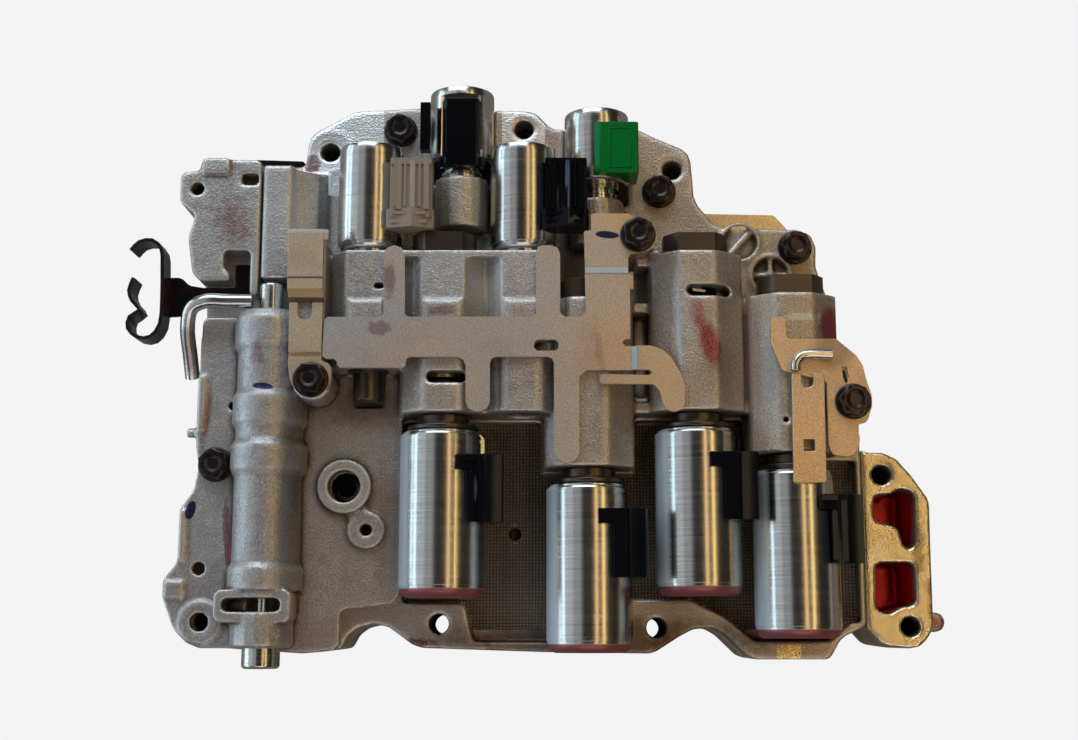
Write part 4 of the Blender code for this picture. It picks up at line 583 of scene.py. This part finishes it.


# Sheet steel: the plate that holds the solenoids, the two clamps, the strip and the two separator sheets.
# Stamped and passivated, bolted through to the front body; grey at the left and straw-yellow at the right,
# partly the tint of the passivation and partly painted warm light from the right.
def sheet_steel(name, cool, warm):
    """Passivated sheet: a slow noise drifts between two tones from left to right over a faint fine grain, the
    warm one partly painted warm light.
    """
    made, tree, shader = finish(name, cool, 0.40, 0.62)
    grain = grained(tree, cool, warm, 2600.0)
    tree.links.new(grain["Color"], shader.inputs["Base Color"])
    bumped(tree, shader, grain["Height"], 0.00003)
    return made, tree, shader


plate_finish, plate_tree, plate_shader = sheet_steel("passivated_steel", (0.57, 0.60, 0.66), (0.87, 0.60, 0.32))
dabbed(plate_tree, plate_shader, [
    # Thin red film, a dab of ink, then the shade on the right bracket and in its slot
    (oil_red, 0.40, 0.2, (-49.5, 26.0, 60.7), (2.4, 8.0, 2), 4, 1.2, 0.5, 0.9),
    (oil_red, 0.38, 0.2, (-52.5, 9.5, 60.7), (5.0, 3.0, 2), 0, 1.2, 0.5, 0.9),
    (oil_red, 0.22, 0.3, (19.5, 3.0, 60.7), (2.0, 12.0, 2), 6, 1.2, 0.6, 0.9),
    (ink_blue, 0.97, 0.3, (22.6, 40.8, 61.4), (4.3, 1.35, 3), -5, 0.2, 0.15, 0.1),
    ((0.22, 0.20, 0.18), 0.60, 0.4, (97.0, 3.0, 61), (9.0, 10.0, 3), 0, 0.4, 0.6, 0.3),
    (shade_black, 0.97, 0.5, (100.1, -6.4, 61), (0.8, 2.7, 3), 8, 0.05, 0.1, 0.0),
])
# The folded edges carry a painted highlight
for low, high in (((14.0, 27.9, 58), (31.0, 29.8, 63)), ((30.4, -5.0, 58), (32.3, 3.8, 63))):
    mixed_in(plate_tree, plate_shader, boxed(plate_tree, low, high, 0.3), {
        "Base Color": (0.40, 0.45, 0.50), "Roughness": 0.3})
for node in ("solenoid_retainer_plate", "right_bracket", "strip_plate"):
    softened(node, 0.0003, plate_finish, sharp=12.0)
clamp_finish, clamp_tree, clamp_shader = sheet_steel("clamp_steel", (0.76, 0.62, 0.46), (0.76, 0.62, 0.46))
# The clamp's upper fold carries a bright painted highlight and its lower one a golden one, each beside a dark
# line of painted shade
for low, high, colour in (((-84.0, 41.2, 58), (-69.0, 42.6, 64), (0.75, 0.78, 0.80)),
                          ((-84.0, 20.2, 58), (-70.0, 22.4, 64), (0.80, 0.62, 0.34)),
                          ((-84.0, 18.2, 58), (-70.0, 19.6, 64), (0.16, 0.11, 0.08)),
                          ((-84.0, 25.6, 58), (-70.0, 26.0, 64), (0.20, 0.15, 0.11))):
    mixed_in(clamp_tree, clamp_shader, boxed(clamp_tree, low, high, 0.3), {"Base Color": colour})
softened("left_clamp_bracket", 0.0003, clamp_finish, sharp=12.0)
gold_sheet, gold_tree, gold_shader = sheet_steel("straw_sheet", (0.56, 0.48, 0.38), (1.0, 0.72, 0.34))
# The sheet's edge at the upper left is glossy and near black, partly painted shadow and partly a wet edge
mixed_in(gold_tree, gold_shader, boxed(gold_tree, (-104, 72.4, 20), (-84, 80.5, 23), 0.3), {
    "Base Color": (0.012, 0.010, 0.012), "Metallic": 0.2, "Roughness": 0.2})
for node in ("front_separator_plate", "rear_separator_plate"):
    softened(node, 0.0002, gold_sheet, sharp=12.0)


# Solenoid cans: drawn bright steel, turned at the ends, pressed over their cores. The four large ones lie
# at the bottom with a cut-out beside the connector, the two small ones and the two short ones at the top.
def bright_steel(name, colour, roughness):
    """Turned steel: noise squeezed along the axis leaves fine rings across it in the bump and the gloss."""
    made, tree, shader = finish(name, colour, roughness, 1.0)
    squeezed = added(tree, "Mapping", {"Vector": place_of(tree), "Scale": (30.0, 2600.0, 30.0)})
    rings = noise(tree, squeezed.outputs["Vector"], 1.0, 4.0)
    tree.links.new(spread(tree, rings, 0.3, 0.7, roughness - 0.03, roughness + 0.05), shader.inputs["Roughness"])
    bumped(tree, shader, rings, 0.000012)
    streak = spread(tree, rings, 0.35, 0.65, 0.86, 1.08)
    tree.links.new(blended(tree, 1.0, (*colour, 1.0), streak, "MULTIPLY"), shader.inputs["Base Color"])
    return made, tree, shader


# Each bore's mouth in X and Y, and for the large ones the lean of the connector in degrees; large_length is
# the whole length of a large can in millimetres
large_mouths = {"1": (-0.0320, -0.0179, 0), "2": (0.0166, -0.0356, 10), "3": (0.0529, -0.0172, 10),
                "4": (0.0850, -0.0310, 0)}
small_mouths = {"a": (-0.0575, 0.0370), "c": (-0.0055, 0.0370)}
short_mouths = {"b": (-0.0270, 0.0660), "d": (0.0202, 0.0582)}
bore_z, short_z, large_length = 0.0465, 0.0385, 60.1
can_steel, can_tree, can_shader = bright_steel("drawn_steel", (0.66, 0.67, 0.66), 0.21)
# On the large cans the left flank carries a dull film, painted pale blue as a reflection of the window, and red
# fluid has dried round the closed end
for x, mouth, degrees in large_mouths.values():
    x, end = 1000 * x, 1000 * mouth - large_length
    mixed_in(can_tree, can_shader, boxed(can_tree, (x - 17, end - 1, 40), (x - 11.4, end + 56, 62), 1.6), {
        "Base Color": (0.62, 0.74, 0.84), "Roughness": 0.36, "Metallic": 0.35})
    mixed_in(can_tree, can_shader, boxed(can_tree, (x - 15, end - 1, 30), (x + 15, end + 2.6, 62), 0.5), {
        "Base Color": (0.34, 0.11, 0.13), "Roughness": 0.42, "Metallic": 0.55})


def closed_surface(name, points, material, sharp=32.0):
    """A mesh from a grid of points (rows, columns, 3) that closes on itself along its columns; the first
    and the last row have shrunk to a point on the axis, so that the surface is closed at both ends."""
    rows, columns = points.shape[:2]
    index = np.arange(rows * columns).reshape(rows, columns)
    after = np.roll(index, -1, axis=1)
    quads = np.stack((index[:-1], after[:-1], after[1:], index[1:]), axis=-1).reshape(-1, 4)
    mesh = bpy.data.meshes.new(name)
    mesh.from_pydata(points.reshape(-1, 3).tolist(), [], quads.tolist())
    work = bmesh.new()
    work.from_mesh(mesh)
    bmesh.ops.remove_doubles(work, verts=work.verts, dist=0.0000005)
    bmesh.ops.recalc_face_normals(work, faces=work.faces)
    work.to_mesh(mesh)
    work.free()
    mesh.materials.append(material)
    mesh.shade_smooth()
    mesh.set_sharp_from_angle(angle=np.radians(sharp))
    piece = bpy.data.objects.new(name, mesh)
    bpy.context.scene.collection.objects.link(piece)
    return piece


def turned_on_y(name, centre, way, steps, reach, turn, material):
    """A turned body lying along Y: row k lies at distance steps[k] from the mouth at centre, towards way
    (+1 or -1), on a circle of radius reach[k], which may be one number or one for each angle in turn."""
    reach = np.broadcast_to(np.asarray(reach, float), (len(steps), len(turn)))
    points = np.empty((len(steps), len(turn), 3))
    points[..., 0] = centre[0] + reach * np.sin(turn)
    points[..., 1] = centre[1] + way * np.asarray(steps)[:, None]
    points[..., 2] = centre[2] + reach * np.cos(turn)
    return closed_surface(name, points, material)


# Rows of a shell are the distance from the mouth and the reach from the axis. In the cut-out beside the
# connector, between two angles, the first rows step in to the reach of the core
large_shell = np.array([
    (5.5, 0), (5.5, 11.6), (5.6, 12.6), (5.9, 13.1), (6.4, 13.2), (6.5, 13.75), (6.9, 14.05), (7.4, 14.2),
    (8.0, 14.2), (8.4, 14.2), (8.42, 14.2), (8.9, 14.2), (8.92, 14.2), (19.28, 14.2), (19.32, 14.2), (54, 14.2),
    (56.2, 14.2), (56.3, 14.0), (56.7, 14.0), (57.4, 13.9), (58.3, 13.6), (59.1, 13.1), (59.7, 12.4),
    (large_length, 11.4), (large_length, 0)]) / 1000
core = np.array([0, 11.6, 12.1, 12.1, 12.1, 12.1, 12.5, 12.6, 12.6, 12.6, 12.25, 12.25, 12.6, 12.6]) / 1000
for line, (x, mouth, degrees) in large_mouths.items():
    node = "solenoid_%s_can" % line
    first, last, rim = np.radians(19.8 + degrees), np.radians(106.4 + degrees), 0.0015
    turn = np.sort(np.concatenate((np.linspace(0, 2 * np.pi, 72, endpoint=False),
                                   [first - rim, first + rim, last - rim, last + rim])))
    reach = np.repeat(large_shell[:, 1:2], len(turn), axis=1)
    inside = (turn > first) & (turn < last)
    reach[:len(core), inside] = np.minimum(reach[:len(core), inside], core[:, None])
    can = turned_on_y(node + "_drawn", (x, mouth, bore_z), -1, large_shell[:, 0], reach, turn, can_steel)
    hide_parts(node)
    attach(can, "body")

# The two small cans beside the panel
small_shell = np.array([
    (-8, 0), (-8, 6.5), (-7.8, 6.7), (0.3, 6.7), (0.3, 8.1), (0.7, 8.1), (0.75, 7.7), (1.3, 7.7), (1.4, 9.2),
    (1.6, 9.6), (2.4, 10.2), (3.4, 10.6), (3.5, 10.9), (4.1, 11.2), (34.9, 11.2), (37.2, 11.2), (37.55, 11.0),
    (37.7, 10.7), (37.7, 0)]) / 1000
even_turn = np.linspace(0, 2 * np.pi, 64, endpoint=False)
for line, (x, mouth) in small_mouths.items():
    node = "solenoid_%s_can" % line
    can = turned_on_y(node + "_drawn", (x, mouth, bore_z), 1, small_shell[:, 0], small_shell[:, 1:2],
                      even_turn, can_steel)
    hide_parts(node)
    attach(can, "body")

# The two short cans stand deeper on long ringed noses; the left one is cut flat for its connector
short_reach, flat_height, flat_half_width = 0.0112, 0.0086, 0.0066
short_shell = np.array([
    (-11, 0), (-11, 5.2), (-10.8, 5.4), (0.3, 5.4), (0.3, 7.2), (0.9, 7.2), (1.0, 6.8), (1.3, 6.8), (1.4, 7.2),
    (2.3, 7.2), (2.5, 6.3), (3.8, 6.3), (4.0, 7.8), (6.1, 7.8), (6.2, 10.4), (6.5, 10.9), (7.0, 11.2),
    (28.68, 11.2), (28.72, 11.2), (30.9, 11.15), (31.4, 10.9), (31.7, 10.3), (31.7, 0)]) / 1000
for line, (x, mouth) in short_mouths.items():
    node = "solenoid_%s_can" % line
    turn = np.linspace(-np.pi, np.pi, 96, endpoint=False)
    reach = np.repeat(short_shell[:, 1:2], len(turn), axis=1)
    if line == "b":
        # Where the flat lies, the reach is its height over the cosine of the angle from straight up
        on_flat = (np.abs(np.sin(turn)) < flat_half_width / short_reach) & (np.cos(turn) >= 0)
        flat = np.where(on_flat, flat_height / np.maximum(np.cos(turn), 0.05), 1.0)
        cut = (short_shell[:, 0] > 0.0061) & (short_shell[:, 0] < 0.0287)
        reach[cut] = np.minimum(reach[cut], flat)
    can = turned_on_y(node + "_drawn", (x, mouth, short_z), 1, short_shell[:, 0], reach, turn, can_steel)
    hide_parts(node)
    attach(can, "body")
softened("manual_bore_plug", 0.0004, can_steel)


# The wire pin at the right and the lube tube at the left: bright drawn steel, cold bent.
# The pin locks the right bracket to the strip; the tube is pressed into the end of the manual bore.
def bent_rod(node, corners, radius, material):
    """A round rod along a smooth path: between its corners the path is the Catmull-Rom cubic, and each
    ring stands square to it, turned from straight up; the rims of both ends are chamfered."""
    corners = np.array(corners, float) / 1000
    ends = np.concatenate(([2 * corners[0] - corners[1]], corners, [2 * corners[-1] - corners[-2]]))
    t = np.linspace(0, 1, 10, endpoint=False)[:, None]
    spans = [0.5 * (2 * b + (c - a) * t + (2 * a - 5 * b + 4 * c - d) * t ** 2 + (3 * b - a - 3 * c + d) * t ** 3)
             for a, b, c, d in zip(ends, ends[1:], ends[2:], ends[3:])]
    path = np.concatenate(spans + [corners[-1:]])
    ahead = np.gradient(path, axis=0)
    ahead /= np.linalg.norm(ahead, axis=1)[:, None]
    side = np.cross(ahead, (0.0, 0.0, 1.0))
    side /= np.linalg.norm(side, axis=1)[:, None]
    up = np.cross(side, ahead)
    radius, step_in, step_on = radius / 1000, 0.0004, 0.0002
    # Each end closes in three rows: a point on the axis, a narrower ring and, a little further on, a full one
    swell = np.concatenate(([0.0, radius - step_in], np.full(len(path), radius), [radius - step_in, 0.0]))
    path = np.concatenate((path[:1], path[:1], path[:1] + ahead[:1] * step_on, path[1:-1],
                           path[-1:] - ahead[-1:] * step_on, path[-1:], path[-1:]))
    side, up = [np.concatenate((way[:1], way[:1], way, way[-1:], way[-1:])) for way in (side, up)]
    turn = np.linspace(0, 2 * np.pi, 28, endpoint=False)[:, None]
    points = (path[:, None] + swell[:, None, None] * (np.sin(turn) * side[:, None] + np.cos(turn) * up[:, None]))
    rod = closed_surface(node + "_bent", points, material)
    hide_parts(node)
    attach(rod, "body")


dabbed(can_tree, can_shader, [
    # Fluid darkens the tube's far bend and the valve's end
    ((0.16, 0.11, 0.11), 0.75, 0.3, (-118.5, 6.0, 43), (5.0, 14.0, 12), 0, 0.3, 0.6, 0.2),
    ((0.30, 0.05, 0.08), 0.70, 0.3, (-82.6, -98.0, 46), (3.0, 5.0, 14), 0, 0.2, 0.5, 0.2),
])
bent_rod("retainer_wire_pin", [(83.7, -5.2, 62.7), (83.9, -2.6, 62.7), (85.8, -0.2, 62.7), (89, 0.4, 62.7),
                               (95.8, 0.2, 62.7)], 1.7, can_steel)
bent_rod("lube_tube", [(-96.6, 20.9, 50), (-105, 20.9, 50), (-112.5, 20.9, 50), (-117.6, 18.4, 48.5),
                       (-119.3, 12, 45), (-119.2, 4, 40), (-119, -3, 36)], 2.5, can_steel)


# Connectors: glass-filled nylon, black, grey or green, moulded with small radii.
# Each stands on the flank of its can, with a latch and a socket mouth for the harness.
def moulded(name, colour, roughness):
    """Plain moulded plastic with a faint bluish gloss."""
    made, tree, shader = finish(name, colour, roughness, 0.0)
    shader.inputs["Specular Tint"].default_value = (0.55, 0.70, 1.0, 1.0)
    shader.inputs["Specular IOR Level"].default_value = 0.28
    return made


black_nylon = moulded("black_nylon", (0.005, 0.005, 0.007), 0.13)
grey_nylon = moulded("grey_nylon", (0.30, 0.26, 0.22), 0.38)
green_nylon = moulded("green_nylon", (0.0, 0.17, 0.025), 0.27)
# The first connector's upright face catches the window
dabbed(black_nylon.node_tree, black_nylon.node_tree.nodes["Principled BSDF"], [
    ((0.10, 0.12, 0.18), 0.9, 0.2, (-20.8, -43.4, 57), (1.3, 7.6, 4), 0, 0.1, 0.3, 0.0)])


def ribbed(x, mouth, axis, ribs, way=1, degrees=0):
    """Boxes on a connector. The two corners of each are its place across, its distance from the can's mouth
    towards way, and its height, from the can's axis in millimetres, before the connector leans."""
    x, mouth, axis = 1000 * x, 1000 * mouth, 1000 * axis
    forms = []
    for low, high in ribs:
        start, stop = sorted((mouth + way * low[1], mouth + way * high[1]))
        forms.append(block((x + low[0], start, axis + low[2]), (x + high[0], stop, axis + high[2]),
                           (np.radians(degrees), x, axis)))
    return forms


# Latch ribs and socket rims: on the large ones, on the two small ones and on the green one
large_ribs = [((9.4, 19.6, 12.7), (11.2, 35.2, 14.1)), ((12.4, 16.0, 12.5), (14.4, 35.6, 13.7)),
              ((6.0, 14.4, 13.4), (11.4, 16.2, 14.5))]
small_ribs = [((9.0, 13.8, 12.8), (9.8, 30.6, 14.4)), ((12.3, 13.8, 12.8), (13.1, 30.6, 14.4)),
              ((17.1, 13.8, 12.8), (17.9, 30.6, 14.4)), ((7.8, 28.6, 12.8), (21.4, 30.8, 14.2)),
              ((8.2, 8.4, 12.0), (20.0, 9.6, 13.9)), ((8.8, 11.2, 12.0), (19.6, 12.2, 14.4))]
green_ribs = [((3.6, 8.6, 14.4), (4.1, 22.6, 15.5)), ((10.9, 8.6, 14.4), (11.4, 22.6, 15.5)),
              ((3.6, 22.3, 14.4), (11.4, 22.8, 15.5)), ((3.6, 8.4, 14.4), (11.4, 8.9, 15.5))]
for line, (x, mouth, degrees) in large_mouths.items():
    softened("solenoid_%s_connector" % line, 0.0004, black_nylon,
             forms=ribbed(x, mouth, bore_z, large_ribs, -1, degrees))
for line, nylon in (("a", grey_nylon), ("c", black_nylon)):
    softened("solenoid_%s_connector" % line, 0.0004, nylon, forms=ribbed(*small_mouths[line], bore_z, small_ribs))
# The latch tab that stands at the left flank of the deep can
softened("solenoid_b_connector", 0.0006, black_nylon, forms=[block((-40.9, 74.2, 45.6), (-37.4, 91.2, 50.4))])
softened("solenoid_d_connector", 0.0006, green_nylon, forms=ribbed(*short_mouths["d"], short_z, green_ribs))


# Dark steel: the bore plugs, the solenoid sleeves and the harness clip.
# Turned or bent, then oiled black; plugs and sleeves are pressed in, and the clip hooks the wiring.
black_oxide = finish("black_oxide", (0.115, 0.098, 0.082), 0.33, 0.9)[0]
clip_steel = finish("clip_steel", (0.045, 0.030, 0.036), 0.2, 0.8)[0]
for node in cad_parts:
    if node.startswith("plug_") or node.endswith("_sleeve"):
        softened(node, 0.0003, black_oxide, sharp=25.0)
softened("harness_clip", 0.0003, clip_steel, sharp=42.0)


# Flange bolts: cold-headed hexagons with a dished top and a wide washer face, phosphated black.
# Each row of a bolt is its height, its reach and how far it is a hexagon; the shank comes first.
bolt_black = finish("bolt_black", (0.040, 0.033, 0.036), 0.24, 0.75)[0]
shank = [(-17.9, 0, 0), (-17.9, 2.3, 0), (-17.2, 2.95, 0), (-0.01, 2.95, 0), (0.02, 3.3, 0)]
head = [(0.0, 5.85, 0), (0.7, 5.9, 0), (1.15, 5.6, 0), (1.3, 5.2, 0), (1.35, 5.25, 0.9), (4.9, 5.25, 1.0),
        (5.45, 5.0, 0.75), (5.6, 4.4, 0.4), (5.6, 3.3, 0.2), (5.2, 2.9, 0), (4.9, 2.0, 0), (4.95, 1.9, 0),
        (4.95, 0, 0)]
rows = np.array(shank + head)
turn = np.linspace(0, 2 * np.pi, 60, endpoint=False)
for bolt, (x, y, seat, angle) in {"bolt_1": (-48.8, 85.5, 36.0, 10), "bolt_2": (42.1, 63.2, 36.0, 24),
                                  "bolt_3": (32.8, 40.7, 61.9, 4), "bolt_4": (89.2, 43.0, 36.0, 18),
                                  "bolt_5": (-74.6, -7.8, 60.7, 28), "bolt_6": (-108.6, -33.6, 42.0, 12),
                                  "bolt_7": (102.4, -15.0, 60.7, 20)}.items():
    # A hexagon's reach is its apothem over the cosine of the angle from the middle of the nearest flat
    from_flat = (turn + np.radians(angle)) % (np.pi / 3) - np.pi / 6
    hexagon = np.cos(np.pi / 6) / np.cos(from_flat)
    reach = rows[:, 1:2] * (1 - rows[:, 2:3] + rows[:, 2:3] * hexagon)
    points = np.stack((x + reach * np.sin(turn), y + reach * np.cos(turn),
                       np.broadcast_to(seat + rows[:, :1], reach.shape)), axis=-1) / 1000
    screw = closed_surface(bolt + "_headed", points, bolt_black, sharp=20.0)
    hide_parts(bolt)
    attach(screw, "body")


# Valves: the spools are ground steel with a straw tint, the manual valve is bright.
# Each spool slides in its own bore against a wound spring of bright wire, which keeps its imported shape.
straw_steel = bright_steel("straw_steel", (0.60, 0.50, 0.33), 0.2)[0]
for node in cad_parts:
    if node.startswith("spool_") or node == "manual_valve":
        softened(node, 0.0002, straw_steel if node.startswith("spool_") else can_steel, node)
    if node.startswith("spring_"):
        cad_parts[node].data.materials.clear()
        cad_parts[node].data.materials.append(can_steel)
